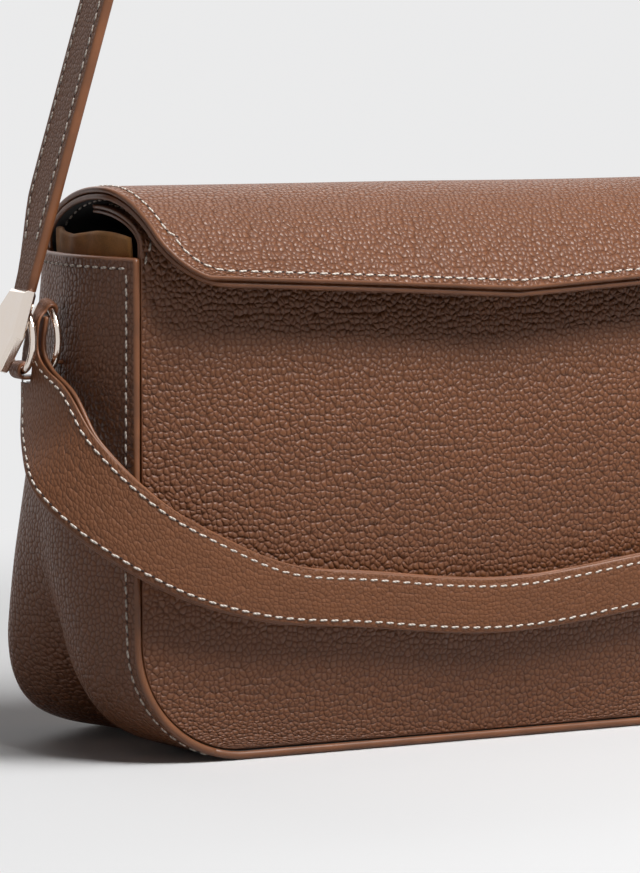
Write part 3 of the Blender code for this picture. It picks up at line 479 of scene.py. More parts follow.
def thread(name):
    """Waxed thread: two strands twisted round each other, the grooves between them darkened with painted
    shade.
    """
    made = Finish(name, Roughness=0.55, Sheen_Weight=0.2)
    flat = made.coordinates()
    twist = made.node("TexWave", {"wave_type": "BANDS", "bands_direction": "DIAGONAL"},
                      {"Vector": flat, "Scale": 420.0, "Distortion": 0.4})
    thread_colour = tuple(colours().thread)
    # The darker bands follow the twist's grooves: painted shade between the strands.
    shade = scaled(thread_colour, 0.66)
    colour = made.mix(made.ease(twist, 0.1, 0.7), shade, thread_colour)
    return made.surface(Base_Color=colour, Normal=made.bump(twist, 0.00012))


def needle_hole(name):
    """Needle hole: leather in deep shade."""
    made = Finish(name, Roughness=0.8)
    depth = made.noise(made.coordinates("Object"), 1500.0)
    return made.surface(Base_Color=made.mix(depth, (0.012, 0.004, 0.002), (0.030, 0.010, 0.005)))


def suede(name):
    """Short napped suede, lighter and darker where it is brushed."""
    made = Finish(name, Sheen_Weight=0.3, Sheen_Roughness=0.5)
    flat = made.coordinates("Object")
    brushed = made.noise(flat, 120.0, 3.0)
    nap = made.noise(flat, 2400.0, 2.0)
    base = tuple(colours().facing)
    dark = scaled(base, 0.62)
    colour = made.mix(made.ease(brushed * 0.7 + nap * 0.3, 0.35, 0.65), dark, base)
    return made.surface(Base_Color=colour, Roughness=0.85 + nap * 0.15, Normal=made.bump(nap, 0.00015))


def lining_cloth(name):
    """Black twill lining: fine diagonal ribs."""
    made = Finish(name, Sheen_Weight=0.15)
    flat = made.coordinates()
    rib = made.node("TexWave", {"wave_type": "BANDS", "bands_direction": "DIAGONAL"},
                    {"Vector": flat, "Scale": 900.0, "Distortion": 0.6})
    cloudy = made.noise(flat, 60.0, 3.0)
    base = tuple(colours().lining)
    pale = scaled(base, 1.8)
    colour = made.mix(made.ease(rib * 0.5 + cloudy * 0.5, 0.2, 0.8), base, pale)
    return made.surface(Base_Color=colour, Roughness=0.72 + cloudy * 0.2, Normal=made.bump(rib, 0.00008))


def board(name):
    """Grey fibre board."""
    made = Finish(name)
    flat = made.coordinates("Object")
    fibre = made.noise(flat, 700.0, 4.0)
    colour = made.mix(fibre, (0.16, 0.15, 0.13), (0.30, 0.28, 0.25))
    return made.surface(Base_Color=colour, Roughness=0.85 + fibre * 0.1, Normal=made.bump(fibre, 0.00010))


def polished_metal(name):
    """Polished pale gold plating with faint wear."""
    made = Finish(name, Metallic=1.0)
    flat = made.coordinates("Object")
    worn = made.noise(flat, 260.0, 4.0, 0.6)
    scratch = made.noise(made.coordinates("Object", (2600.0, 240.0, 240.0)), 1.0, 2.0)
    base = tuple(colours().metal)
    warm = (base[0], base[1] * 0.96, base[2] * 0.90)
    return made.surface(Base_Color=made.mix(worn, base, warm), Roughness=0.07 + worn * 0.09,
                        Normal=made.bump(scratch, 0.000006))


FINISHES = {
    "brown_grain": grained_leather,
    "fine_grain": fine_leather,
    "painted_edge": painted_edge,
    "thread": thread,
    "needle_hole": needle_hole,
    "suede": suede,
    "lining_cloth": lining_cloth,
    "fibre_board": board,
    "polished_metal": polished_metal,
}


def unit(vectors):
    """Vectors divided by their lengths."""
    return vectors / np.maximum(np.linalg.norm(vectors, axis=-1, keepdims=True), 1e-12)


def ease(share):
    """Smooth step: three squares less two cubes of a share held between 0 and 1."""
    held = np.clip(share, 0.0, 1.0)
    return held * held * (3 - 2 * held)


def points_of(x, y, z):
    """Points from three arrays, spread to one shape."""
    return np.stack(np.broadcast_arrays(x, y, z), axis=-1).astype(float)


def grid_normals(points):
    """Normals of a grid: the cross product of its steps across and its steps along."""
    return unit(np.cross(np.gradient(points, axis=1), np.gradient(points, axis=0)))


def lengths_along(path):
    """Distance of each point of a path from its start."""
    return np.concatenate([[0], np.cumsum(np.linalg.norm(np.diff(path, axis=0), axis=-1))])


def at_lengths(places, lengths, values):
    """Rows of values at places along a run, straight between the known ones."""
    return np.stack([np.interp(places, lengths, column) for column in values.T], axis=-1)


def metres_along(points, axis):
    """Distance along a grid's lines, in metres, from their middle."""
    steps = np.linalg.norm(np.diff(points, axis=axis), axis=-1)
    first = np.zeros_like(np.take(steps, [0], axis=axis))
    run = np.concatenate([first, np.cumsum(steps, axis=axis)], axis=axis)
    return run - np.take(run, [run.shape[axis] // 2], axis=axis)


def shares(count, low=-1.0, high=1.0, close=0.0):
    """Evenly spread shares, with one more close to each end where the surface turns into its edge."""
    spread = np.linspace(low, high, count)
    if close:
        step = close * (high - low)
        spread = np.concatenate([spread[:1], [low + step], spread[1:-1], [high - step], spread[-1:]])
    return spread


def build_mesh(name, points, groups, finishes, flat=False):
    """Mesh from points and groups of faces, each group with the place of its finish and its own UV."""
    mesh = bpy.data.meshes.new(name)
    faces = [face for group, slot, uv in groups for face in group.tolist()]
    mesh.from_pydata(points.reshape(-1, 3).tolist(), [], faces)
    for finish in finishes:
        mesh.materials.append(finish_named(finish))
    slots = np.concatenate([np.full(len(group), slot) for group, slot, uv in groups])
    mesh.polygons.foreach_set("material_index", slots.astype(np.int32))
    mesh.polygons.foreach_set("use_smooth", np.full(len(faces), not flat))
    layer = mesh.uv_layers.new(name="UVMap")
    layer.data.foreach_set("uv", np.concatenate([uv.reshape(-1, 2) for group, slot, uv in groups]).ravel())
    mesh.update()
    made = bpy.data.objects.new(name, mesh)
    bpy.context.scene.collection.objects.link(made)
    return made


def quads(rows, columns, wrap_rows=False, wrap_columns=False):
    """Corner indices of a grid's quads, as row and column numbers."""
    row = np.arange(rows if wrap_rows else rows - 1)
    column = np.arange(columns if wrap_columns else columns - 1)
    row, column = np.meshgrid(row, column, indexing="ij")
    next_row = (row + 1) % rows
    next_column = (column + 1) % columns
    corners = [(row, column), (row, next_column), (next_row, next_column), (next_row, column)]
    return np.stack([a * columns + b for a, b in corners], axis=-1).reshape(-1, 4)


def sheet_piece(name, face, wall, finishes, outward, bead=0.35, rim_steps=5):
    """Closed sheet: a face, its copy a wall below along the normals, and a half round rim between."""
    if (grid_normals(face) * np.array(outward)).sum(axis=-1).mean() < 0:
        face = face[:, ::-1]
    rows, columns = face.shape[:2]
    normals = grid_normals(face)
    walls = np.broadcast_to(np.asarray(wall, dtype=float), face.shape[:2] + (1,))
    under = face - normals * walls
    flat_uv = np.stack([metres_along(face, 1), metres_along(face, 0)], axis=-1)
    index = np.arange(rows * columns).reshape(rows, columns)
    border = np.concatenate([index[0, :-1], index[:-1, -1], index[-1, :0:-1], index[:0:-1, 0]])
    row, column = np.divmod(border, columns)
    inner = np.clip(row, 1, rows - 2) * columns + np.clip(column, 1, columns - 2)
    flat_face = face.reshape(-1, 3)
    flat_under = under.reshape(-1, 3)
    flat_normal = normals.reshape(-1, 3)
    away = flat_face[border] - flat_face[inner]
    along = np.roll(flat_face[border], -1, axis=0) - np.roll(flat_face[border], 1, axis=0)
    sideways = unit(np.cross(along, flat_normal[border]))
    sideways *= np.sign((sideways * away).sum(axis=-1, keepdims=True))
    middle = (flat_face[border] + flat_under[border]) / 2
    turns = np.linspace(0, math.pi, rim_steps + 2)[1:-1, None, None]
    thick = walls.reshape(-1, 1)[border]
    rim = middle + np.cos(turns) * flat_normal[border] * thick / 2 + np.sin(turns) * sideways * thick * bead
    count = rows * columns
    points = np.concatenate([flat_face, flat_under, rim.reshape(-1, 3)])
    top = quads(rows, columns)
    rims = 2 * count + np.arange(rim_steps * len(border)).reshape(rim_steps, -1)
    ring = np.concatenate([border[None], rims, count + border[None]])
    sides = quads(rim_steps + 2, len(border), wrap_columns=True)
    run = lengths_along(flat_face[border])
    over = np.linspace(0, walls.max(), rim_steps + 2)
    rim_uv = np.stack(np.meshgrid(over, run, indexing="ij")[::-1], axis=-1)
    grid_uv = flat_uv.reshape(-1, 2)
    groups = [(top, 0, grid_uv[top]), (count + top[:, ::-1], 2, grid_uv[top[:, ::-1]]),
              (ring.reshape(-1)[sides][:, ::-1], 1, rim_uv.reshape(-1, 2)[sides][:, ::-1])]
    return build_mesh(name, points, groups, finishes)


def loft_piece(name, grid, finish, wrap_rows=False, flat=False):
    """Body lofted through rings, with a fan over each end unless its rows close on themselves."""
    rows, columns = grid.shape[:2]
    faces = quads(rows, columns, wrap_rows, True)
    points = grid.reshape(-1, 3)
    around = np.linspace(0, 1, columns, endpoint=False) * 0.01
    length = np.arange(rows) * 0.001
    uv = np.stack(np.meshgrid(length, around, indexing="ij")[::-1], axis=-1).reshape(-1, 2)
    groups = [(faces, 0, uv[faces])]
    if not wrap_rows:
        ends = np.stack([grid[0].mean(axis=0), grid[-1].mean(axis=0)])
        points = np.concatenate([points, ends])
        uv = np.concatenate([uv, [[0, 0], [0, 0]]])
        here = np.arange(columns)
        after = (here + 1) % columns
        last = (rows - 1) * columns
        first_fan = np.stack([np.full(columns, rows * columns), after, here], axis=-1)
        last_fan = np.stack([np.full(columns, rows * columns + 1), last + here, last + after], axis=-1)
        groups += [(first_fan, 0, uv[first_fan]), (last_fan, 0, uv[last_fan])]
    made = build_mesh(name, points, groups, [finish], flat)
    point_outwards(made)
    return made


def point_outwards(made):
    """Turns a closed mesh's faces outwards when its signed volume is negative."""
    mesh = made.data
    mesh.calc_loop_triangles()
    count = len(mesh.loop_triangles)
    corners = np.empty(count * 3, dtype=np.int32)
    mesh.loop_triangles.foreach_get("vertices", corners)
    points = np.empty(len(mesh.vertices) * 3, dtype=np.float32)
    mesh.vertices.foreach_get("co", points)
    a, b, c = np.moveaxis(points.reshape(-1, 3)[corners.reshape(-1, 3)], 1, 0)
    if (a * np.cross(b, c)).sum() < 0:
        mesh.flip_normals()


def wire_grid(path, radius, sides=16):
    """Rings of points round a closed path: circles square to it, started from one fixed direction."""
    tangents = unit(np.roll(path, -1, axis=0) - np.roll(path, 1, axis=0))
    first = unit(np.cross(tangents, [1.0, 0.0, 0.3]))
    second = np.cross(tangents, first)
    angle = np.linspace(0, 2 * math.pi, sides, endpoint=False)[None, :, None]
    return path[:, None] + radius * (np.cos(angle) * first[:, None] + np.sin(angle) * second[:, None])


def turned_grid(profile, origin, axis, sides=40):
    """Rings of points round an axis: a profile of radius and height, turned."""
    axis = unit(np.array(axis, dtype=float))
    side = unit(np.cross(axis, [0.3, 0.2, 1.0] if abs(axis[2]) < 0.9 else [1.0, 0.0, 0.0]))
    other = np.cross(axis, side)
    angle = np.linspace(0, 2 * math.pi, sides, endpoint=False)[None, :, None]
    radius, height = np.array(profile, dtype=float).T
    return (np.array(origin) + height[:, None, None] * axis
            + radius[:, None, None] * (np.cos(angle) * side + np.sin(angle) * other))


def flow(stations, count):
    """Smooth curve through stations: cubic pieces whose slope at a station runs between its neighbours."""
    stations = np.asarray(stations, dtype=float)
    padded = np.concatenate([2 * stations[:1] - stations[1:2], stations, 2 * stations[-1:] - stations[-2:-1]])
    place = np.linspace(0, len(stations) - 1, count)
    base = np.minimum(place.astype(int), len(stations) - 2)
    share = (place - base)[:, None]
    before, start, end, after = (padded[base + step] for step in range(4))
    return 0.5 * (2 * start + (end - before) * share + (2 * before - 5 * start + 4 * end - after) * share ** 2
                  + (3 * start - before - 3 * end + after) * share ** 3)


def carve(made, low, high, place=None):
    """Cuts a box out of a piece; the box may be placed by three directions and a middle."""
    spans = np.stack([low, high], axis=1)
    corners = np.stack(np.meshgrid(*spans, indexing="ij"), axis=-1).reshape(-1, 3)
    if place is not None:
        corners = corners @ place[0] + place[1]
    faces = np.array([[0, 1, 3, 2], [4, 6, 7, 5], [0, 4, 5, 1], [2, 3, 7, 6], [0, 2, 6, 4], [1, 5, 7, 3]])
    cutter = build_mesh("cutter", corners, [(faces, 0, np.zeros((6, 4, 2)))], ["painted_edge"])
    point_outwards(cutter)
    step = made.modifiers.new("cut", "BOOLEAN")
    step.operation = "DIFFERENCE"
    step.solver = "EXACT"
    step.object = cutter
    bpy.context.view_layer.update()
    cut = bpy.data.meshes.new_from_object(made.evaluated_get(bpy.context.evaluated_depsgraph_get()))
    made.modifiers.clear()
    made.data = cut
    bpy.data.objects.remove(cutter, do_unlink=True)


def settle(piece, body, slot, *nodes):
    """A finished piece rides on its body and stands for its nodes. Its slot is not used."""
    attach(piece, body)
    wear(piece, slot, *nodes)


def bend(piece, slot, *nodes):
    """A finished piece that crosses the flap's hinge."""
    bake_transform(piece)
    wear(piece, slot, *nodes)


def wear(piece, slot, *nodes):
    """A piece stands for its nodes, which are hidden. Its slot is not used."""
    if nodes:
        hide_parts(*nodes)


def refinish(name, finish):
    """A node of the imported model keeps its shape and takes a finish."""
    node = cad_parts[name]
    node.data.materials.clear()
    node.data.materials.append(finish_named(finish))


# Surfaces, each a function of two arrays

def back_y(height):
    """Outer face of the back, which leans forward in proportion to its height."""
    return BACK_Y - BACK_LEAN * np.asarray(height) / HEM_HEIGHT


def ridge_proud(height):
    """How far the gusset's ridge stands out: up to its most below half height, less towards the hem."""
    share = np.asarray(height) / HEM_HEIGHT
    fall = ease((share - RIDGE_HEIGHT_SHARE) / (1 - RIDGE_HEIGHT_SHARE))
    return ease(share / RIDGE_HEIGHT_SHARE) * (RIDGE_MIDDLE + (RIDGE_TOP - RIDGE_MIDDLE) * fall)


def ridge_section(depth_share):
    """Cross section of the ridge: one less a power of the distance from mid depth."""
    return 1 - np.abs(2 * depth_share - 1) ** RIDGE_POWER


def panel_half(height):
    """Half width of the front or back panel: full above the round corner, an arc within it."""
    corner = CORNER_RADIUS - PANEL_INSET
    below = np.clip(CORNER_RADIUS - np.asarray(height), 0, corner)
    return HALF_WIDTH - CORNER_RADIUS + np.sqrt(corner ** 2 - below ** 2)


class CubicTable:
    """Smooth curve through a table: cubic pieces whose slopes run between neighbouring entries."""

    def __init__(self, places, values):
        self.places = np.asarray(places, dtype=float)
        self.values = np.asarray(values, dtype=float)
        self.slopes = np.gradient(self.values, self.places)

    def __call__(self, place):
        """Value at a place, held between the first and the last entry."""
        held = np.clip(place, self.places[0], self.places[-1])
        index = np.clip(np.searchsorted(self.places, held, side="right") - 1, 0, len(self.places) - 2)
        span = self.places[index + 1] - self.places[index]
        share = (held - self.places[index]) / span
        start = (1 + 2 * share) * (1 - share) ** 2 * self.values[index]
        end = share ** 2 * (3 - 2 * share) * self.values[index + 1]
        slope = (1 - share) * self.slopes[index] - share * self.slopes[index + 1]
        turn = share * (1 - share) * span * slope
        return start + end + turn


def bell(value, middle, spread):
    """Bell curve: e to the minus square of the distance from the middle over the spread."""
    return np.exp(-((value - middle) / spread) ** 2)


def slow_waves(a, b):
    """Slight unevenness of soft leather: three slow sine waves across each other."""
    waves = ((31, 13, 0.7), (-22, 37, 2.1), (58, 21, 4.0))
    return sum(np.sin(first * a + second * b + start) for first, second, start in waves) / 3


def front_face(across, along):
    """Front panel: bulging most at mid height, its top rolled back over the mouth on a quarter ellipse."""
    height = np.minimum(along, CURL_START)
    half = panel_half(height)
    rise = CubicTable(BULGE_HEIGHTS, BULGE_SHARES)(height)
    swell = rise * (1 - np.abs(across) ** PANEL_BULGE_POWER)
    x = across * half
    y = FRONT_Y + PANEL_PROUD - PANEL_BULGE * swell
    y = y + PANEL_WAVES * slow_waves(x, height) * swell * ease(height / 0.12)
    angle = np.clip((along - CURL_START) / CURL_LENGTH, 0, 1) * math.pi / 2
    depth = CURL_END_Y - y
    return points_of(x, y + depth * (1 - np.cos(angle)), height + CURL_RISE * np.sin(angle))


SIDE_STRAIGHT = HEM_HEIGHT - CORNER_RADIUS
SIDE_LENGTH = SIDE_STRAIGHT + CORNER_RADIUS * (math.pi / 2 - LAP_ANGLE)


def side_face(side, depth, down):
    """Gusset: straight down, then round the corner, pushed out by its ridge and creased at its foot."""
    angle = np.clip((down - SIDE_STRAIGHT) / CORNER_RADIUS, 0, None)
    height = np.where(down < SIDE_STRAIGHT, HEM_HEIGHT - down, CORNER_RADIUS * (1 - np.sin(angle)))
    out_x = np.cos(angle)
    out_z = -np.sin(angle)
    rear = bell(depth, REAR_LOBE_SHARE, LOBE_SPREAD_SHARE) * CubicTable(LOBE_HEIGHTS, REAR_LOBE)(height)
    front = bell(depth, FRONT_LOBE_SHARE, LOBE_SPREAD_SHARE) * CubicTable(LOBE_HEIGHTS, FRONT_LOBE)(height)
    crease = bell(depth, CREASE_SHARE, CREASE_SPREAD_SHARE) * CubicTable(LOBE_HEIGHTS, CREASE)(height)
    edges = ease(np.minimum(depth, 1 - depth) / GUSSET_EDGE_SHARE)
    proud = ridge_proud(height) * ridge_section(depth)
    x = HALF_WIDTH - CORNER_RADIUS + CORNER_RADIUS * out_x + proud * out_x
    x = x + (rear + front - crease) * edges + GUSSET_WAVES * slow_waves(depth * 0.16, down) * edges
    z = np.where(down < SIDE_STRAIGHT, height, CORNER_RADIUS * (1 - np.sin(angle)) + proud * out_z)
    z = z + 0.5 * (rear + front - crease) * edges * out_z
    y = FRONT_Y + (back_y(height) + PANEL_PROUD - FRONT_Y) * depth
    return points_of(side * x, y, np.maximum(z, 0.0002))


def base_face(across, depth):
    """Base strip: flat, with its two ends turned up round the corners as far as the laps."""
    lap = LAP_ANGLE - GAP / CORNER_RADIUS
    flat = HALF_WIDTH - CORNER_RADIUS
    reach = across * (flat + CORNER_RADIUS * lap)
    angle = np.clip((np.abs(reach) - flat) / CORNER_RADIUS, 0, None)
    x = np.sign(reach) * (np.minimum(np.abs(reach), flat) + CORNER_RADIUS * np.sin(angle))
    z = CORNER_RADIUS * (1 - np.cos(angle))
    y = FRONT_Y + (back_y(z) + PANEL_PROUD - FRONT_Y) * depth
    return points_of(x, y, z)


def wrap_section():
    """Section of the back and flap: up the leaning back, over a quarter ellipse, down to the lip."""
    heights = np.linspace(PANEL_INSET, HEM_HEIGHT, 60)
    back = np.stack([back_y(heights), heights], axis=-1)
    angle = np.linspace(0, math.pi / 2, 60)[1:]
    rear = back_y(HEM_HEIGHT) - CREST_Y
    rise = CREST_HEIGHT - HEM_HEIGHT
    crest = np.stack([CREST_Y + rear * np.cos(angle), HEM_HEIGHT + rise * np.sin(angle)], axis=-1)
    share = np.linspace(0, 1, 60)[1:]
    front = np.stack([CREST_Y - (CREST_Y - LIP_Y) * share,
                      CREST_HEIGHT - (CREST_HEIGHT - LIP_HEIGHT) * share ** FRONT_POWER], axis=-1)
    section = np.concatenate([back, crest, front])
    section[60:, 1] += GAP
    return section, lengths_along(section)


WRAP_SECTION, WRAP_LENGTHS = wrap_section()
WRAP_LENGTH = WRAP_LENGTHS[-1]
HEM_LENGTH = WRAP_LENGTHS[59]
FLAP_LENGTH = WRAP_LENGTH - HEM_LENGTH


def wrap_half(along):
    """Half width of the back and flap: the panel's round corners, then the flap's taper and corners."""
    back = panel_half(PANEL_INSET + along)
    from_lip = WRAP_LENGTH - along
    tapered = HALF_WIDTH - FLAP_TAPER * ease(1 - from_lip / (FLAP_LENGTH / 2))
    short = np.clip(FLAP_CORNER - from_lip, 0, FLAP_CORNER)
    flap = tapered - FLAP_CORNER + np.sqrt(FLAP_CORNER ** 2 - short ** 2)
    share = ease((along - HEM_LENGTH + WIDEN_LENGTH) / (2 * WIDEN_LENGTH))
    return back + (flap - back) * share


def wrap_face(across, along, inset=0.0):
    """Back and flap leather: the section carried across, set in along its normal. The lip is shorter towards
    the sides, so that it falls to a shallow point."""
    x = across * wrap_half(along)
    shorter = 1 - POINT_DROP * np.abs(x) / HALF_WIDTH / FLAP_LENGTH
    place = np.where(along > HEM_LENGTH, HEM_LENGTH + (along - HEM_LENGTH) * shorter, along)
    y = np.interp(place, WRAP_LENGTHS, WRAP_SECTION[:, 0])
    z = np.interp(place, WRAP_LENGTHS, WRAP_SECTION[:, 1])
    slope = unit(np.gradient(WRAP_SECTION, WRAP_LENGTHS, axis=0))
    out_y = np.interp(place, WRAP_LENGTHS, slope[:, 1])
    out_z = -np.interp(place, WRAP_LENGTHS, slope[:, 0])
    sag = WRAP_WAVES * slow_waves(x * 0.8, place) * (1 - across ** 2)
    return points_of(x, y - (inset - sag) * out_y, z - (inset - sag) * out_z)


def run_direction(side):
    """Direction up a run of the strap."""
    return np.array([-side * math.sin(STRAP_LEAN), 0.0, math.cos(STRAP_LEAN)])


def run_outward(side):
    """Direction out of a run's outer face."""
    return np.array([side * math.cos(STRAP_LEAN), 0.0, math.sin(STRAP_LEAN)])


def block_centre(side):
    """Middle of a block."""
    return np.array([side * BLOCK_X, RING_Y, BLOCK_HEIGHT])


def run_point(side, along, out=0.0):
    """Point of the strap's middle line on a run: so far from the block, and so far out."""
    start = block_centre(side) + run_direction(side) * (BLOCK_RISE + GAP)
    along = np.asarray(along, dtype=float)[..., None]
    out = np.asarray(out, dtype=float)[..., None]
    return start + run_direction(side) * along + run_outward(side) * (out - STRAP_INSET)


RUN_TO_VERTEX = abs(run_point(-1, 0.0)[0]) / math.sin(STRAP_LEAN)
RUN_TO_ARC = RUN_TO_VERTEX - (APEX_RADIUS - STRAP_INSET) / math.tan(STRAP_LEAN)
APEX_HEIGHT = run_point(-1, RUN_TO_VERTEX)[2] - (APEX_RADIUS - STRAP_INSET) / math.sin(STRAP_LEAN)
BASE_BAR = BUCKLE_ALONG + BUCKLE_HALF_LENGTH


def long_line(out=0.0):
    """Middle line of the long strap: up the left run, over the top on an arc, down to the buckle."""
    angle = np.linspace(math.pi - STRAP_LEAN, STRAP_LEAN, 40)
    reach = APEX_RADIUS - STRAP_INSET + out
    arc = points_of(reach * np.cos(angle), RING_Y, APEX_HEIGHT + reach * np.sin(angle))
    left = run_point(-1, np.linspace(0, RUN_TO_ARC, 90)[:-1], out)
    right = run_point(1, np.linspace(RUN_TO_ARC, BASE_BAR + BUCKLE_WIRE + GAP, 55)[1:], out)
    return np.concatenate([left, arc, right])


def short_line(out=0.0):
    """Middle line of the short strap: up through the buckle, then lying on the long strap."""
    lift = STRAP_WALL + GAP
    along = np.linspace(0, BUCKLE_ALONG + TAIL_LENGTH, 110)
    rise = lift * ease((along - BUCKLE_ALONG + BUCKLE_HALF_LENGTH / 2) / BUCKLE_HALF_LENGTH)
    return run_point(1, along, out + rise)


def narrowing(line):
    """How much the strap's rear edge draws in: a smooth step to a power, growing towards the block."""
    above = (line[:, 2] - BLOCK_HEIGHT) / math.cos(STRAP_LEAN) - BLOCK_RISE
    return STRAP_NARROWING * ease(1 - above / STRAP_NARROWING_LENGTH) ** 0.8


def strap_face(line):
    """Strap's outer face: a line carried across its width, drawn in at its rear edge near the block."""
    across = shares(13, close=0.02)[None]
    reach = across * STRAP_HALF_WIDTH - np.clip(across, 0, 1) * narrowing(line)[:, None]
    return line[:, None] + Y_AXIS * reach[:, :, None]


def handle_stations():
    """Middles, outward and across directions and half widths of the handle, up to its middle."""
    middles = []
    turns = []
    halves = []
    for span, out, forward, up, width, turn in HANDLE_ROW_SHARES:
        middles.append((-HANDLE_RING_X * span - HANDLE_STANDOFF * out,
                        RING_Y + (HANDLE_FRONT_Y - RING_Y) * forward, RING_HEIGHT - HANDLE_DROP * (1 - up)))
        halves.append(HANDLE_HALF_WIDTH * width)
        turns.append(math.pi / 2 * turn)
    middles = np.array(middles)
    turns = np.array(turns)
    mirrored = np.concatenate([middles, middles[-2:-1] * [-1, 1, 1]])
    after = mirrored[1:]
    before = np.concatenate([middles[:1], middles[:-1]])
    tangent = unit(after - before)
    out = points_of(-np.cos(turns), -np.sin(turns), 0.0)
    out = unit(out - tangent * (out * tangent).sum(axis=-1, keepdims=True))
    across = unit(np.cross(tangent, out))
    return middles, out, across, np.array(halves)


def handle_loop():
    """The folded end: a part circle round the wire of the ring."""
    reach = RING_RADIUS - LOOP_DROP
    lean = np.array([0.0, -math.cos(LOOP_ANGLE), math.sin(LOOP_ANGLE)])
    across = np.array([0.0, math.sin(LOOP_ANGLE), math.cos(LOOP_ANGLE)])
    centre = np.array([-HANDLE_RING_X, RING_Y, RING_HEIGHT]) + lean * reach
    angle = np.linspace(LOOP_START, math.pi, 9)[:, None]
    out = np.cos(angle) * X_AXIS + np.sin(angle) * lean
    return centre + out * LOOP_RADIUS, out, np.broadcast_to(across, out.shape), np.full(9, LOOP_HALF_WIDTH)


def handle_edges(count, looped):
    """Front and rear edge of the handle's outer face, smoothed, from one ring to the other."""
    middles, out, across, halves = (part[1:] for part in handle_stations())
    front, rear = (np.array(edge) for edge in zip(*HANDLE_END_EDGES))
    face = middles + out * HANDLE_PLY
    front = np.concatenate([front, face - across * halves[:, None]])
    rear = np.concatenate([rear, face + across * halves[:, None]])
    if looped:
        middles, out, across, halves = handle_loop()
        face = middles + out * HANDLE_PLY
        front = np.concatenate([face - across * halves[:, None], front])
        rear = np.concatenate([face + across * halves[:, None], rear])
    mirror = np.array([-1, 1, 1])
    edges = [np.concatenate([edge, edge[-2::-1] * mirror]) for edge in (front, rear)]
    return [soften(flow(edge, count), 30) for edge in edges]


def soften(path, passes):
    """Path with each point drawn to its neighbours' middle, its ends held."""
    for _ in range(passes):
        path = np.concatenate([path[:1], (path[:-2] + 2 * path[1:-1] + path[2:]) / 4, path[-1:]])
    return path


def handle_face(edges, depth, crown):
    """Face of a handle ply, from front to rear edge: a little crowned, a depth below the outer face."""
    front, rear = edges
    step = shares(17, close=0.02)[None, :, None]
    half = np.linalg.norm(front - rear, axis=-1)[:, None, None] / 2
    middle = (front + rear)[:, None] / 2
    flat = middle + (rear - front)[:, None] / 2 * step * (1 - HANDLE_TRIM / half)
    outward = handle_normals(edges)[:, None]
    return flat + outward * (crown * (1 - step ** 4) - depth)


def handle_normals(edges):
    """Directions out of the handle's outer face."""
    front, rear = edges
    tangent = unit(np.gradient((front + rear) / 2, axis=0))
    return unit(np.cross(rear - front, tangent))


def bead_template():
    """One stitch, a unit long and a unit thick: rings round a line, thin at both ends."""
    sides = 8
    places = np.array([-0.92, -0.62, 0.0, 0.62, 0.92])
    thick = np.array([0.55, 0.94, 1.0, 0.94, 0.55])
    angle = np.linspace(0, 2 * math.pi, sides, endpoint=False)
    rings = points_of(places[:, None] / 2, thick[:, None] * np.cos(angle), thick[:, None] * np.sin(angle))
    points = np.concatenate([rings.reshape(-1, 3), [[-0.5, 0, 0], [0.5, 0, 0]]])
    grid = quads(5, sides, wrap_columns=True)
    split = np.concatenate([grid[:, [0, 1, 2]], grid[:, [0, 2, 3]]])
    here = np.arange(sides)
    after = (here + 1) % sides
    first = np.stack([np.full(sides, 5 * sides), after, here], axis=-1)
    last = np.stack([np.full(sides, 5 * sides + 1), 4 * sides + here, 4 * sides + after], axis=-1)
    return points, np.concatenate([split, first, last])


def copies(template, centres, axes):
    """A template's points at each centre, along the three directions that belong to it."""
    return centres[:, None] + sum(axis[:, None] * template[None, :, k:k + 1] for k, axis in enumerate(axes))


def stitch_piece(name, runs, slant=0.10):
    """Stitches: the bead repeated at the pitch along each run, half sunk and slightly slanted, and a needle
    hole after each, a dark bead that is painted shade where the thread goes in."""
    points, faces = bead_template()
    half = sizes().stitch_length / 2
    stations = []
    for path, normal in runs:
        lengths = lengths_along(path)
        count = max(int(lengths[-1] / sizes().stitch_pitch), 1)
        place = (np.arange(count) + 0.5) * lengths[-1] / count
        forward = unit(at_lengths(place + half, lengths, path) - at_lengths(place - half, lengths, path))
        up = unit(at_lengths(place, lengths, normal))
        up = unit(up - forward * (up * forward).sum(axis=-1, keepdims=True))
        stations.append((at_lengths(place, lengths, path), forward, up))
    centre, forward, up = (np.concatenate(part) for part in zip(*stations))
    side = np.cross(up, forward)
    wobble = slant * np.sin(np.arange(len(centre)) * 2.4)[:, None]
    forward = unit(forward + side * (slant + wobble * 0.4))
    axes = (forward, np.cross(up, forward), up)
    radius = sizes().thread_radius
    bead = points * [sizes().stitch_length, radius, radius * 0.85]
    centre = centre + up * radius * 0.30
    threads = copies(bead, centre, axes).reshape(-1, 3)
    # Needle holes: dark beads, painted shade where the thread goes into the leather.
    between = centre + forward * sizes().stitch_pitch / 2 - up * radius * 0.55
    holes = copies(points * NEEDLE_HOLE, between, axes).reshape(-1, 3)
    every = (faces[None] + np.arange(len(centre))[:, None, None] * len(points)).reshape(-1, 3)
    along = np.tile(bead[:, :2], (len(centre), 1))[every]
    made = build_mesh(name, np.concatenate([threads, holes]),
                      [(every, 0, along), (every + len(threads), 1, along)], ["thread", "needle_hole"])
    point_outwards(made)
    return made


def on_face(surface, a, b, step=0.0005):
    """Points of a surface along a path of its two parameters, with the surface's normals there."""
    a, b = np.broadcast_arrays(np.asarray(a, dtype=float), np.asarray(b, dtype=float))
    points = surface(a, b)
    first = surface(a + step, b) - surface(a - step, b)
    second = surface(a, b + step) - surface(a, b - step)
    return points, unit(np.cross(first, second))


def facing(run, outward):
    """A run whose normals are turned to the side of a direction."""
    points, normals = run
    sign = np.sign((normals * np.array(outward)).sum(axis=-1, keepdims=True))
    return points, normals * np.where(sign == 0, 1, sign)


def beneath(face, outward, distance):
    """A face moved back along its normals, away from the side of a direction."""
    return face - facing((face, grid_normals(face)), outward)[1] * distance


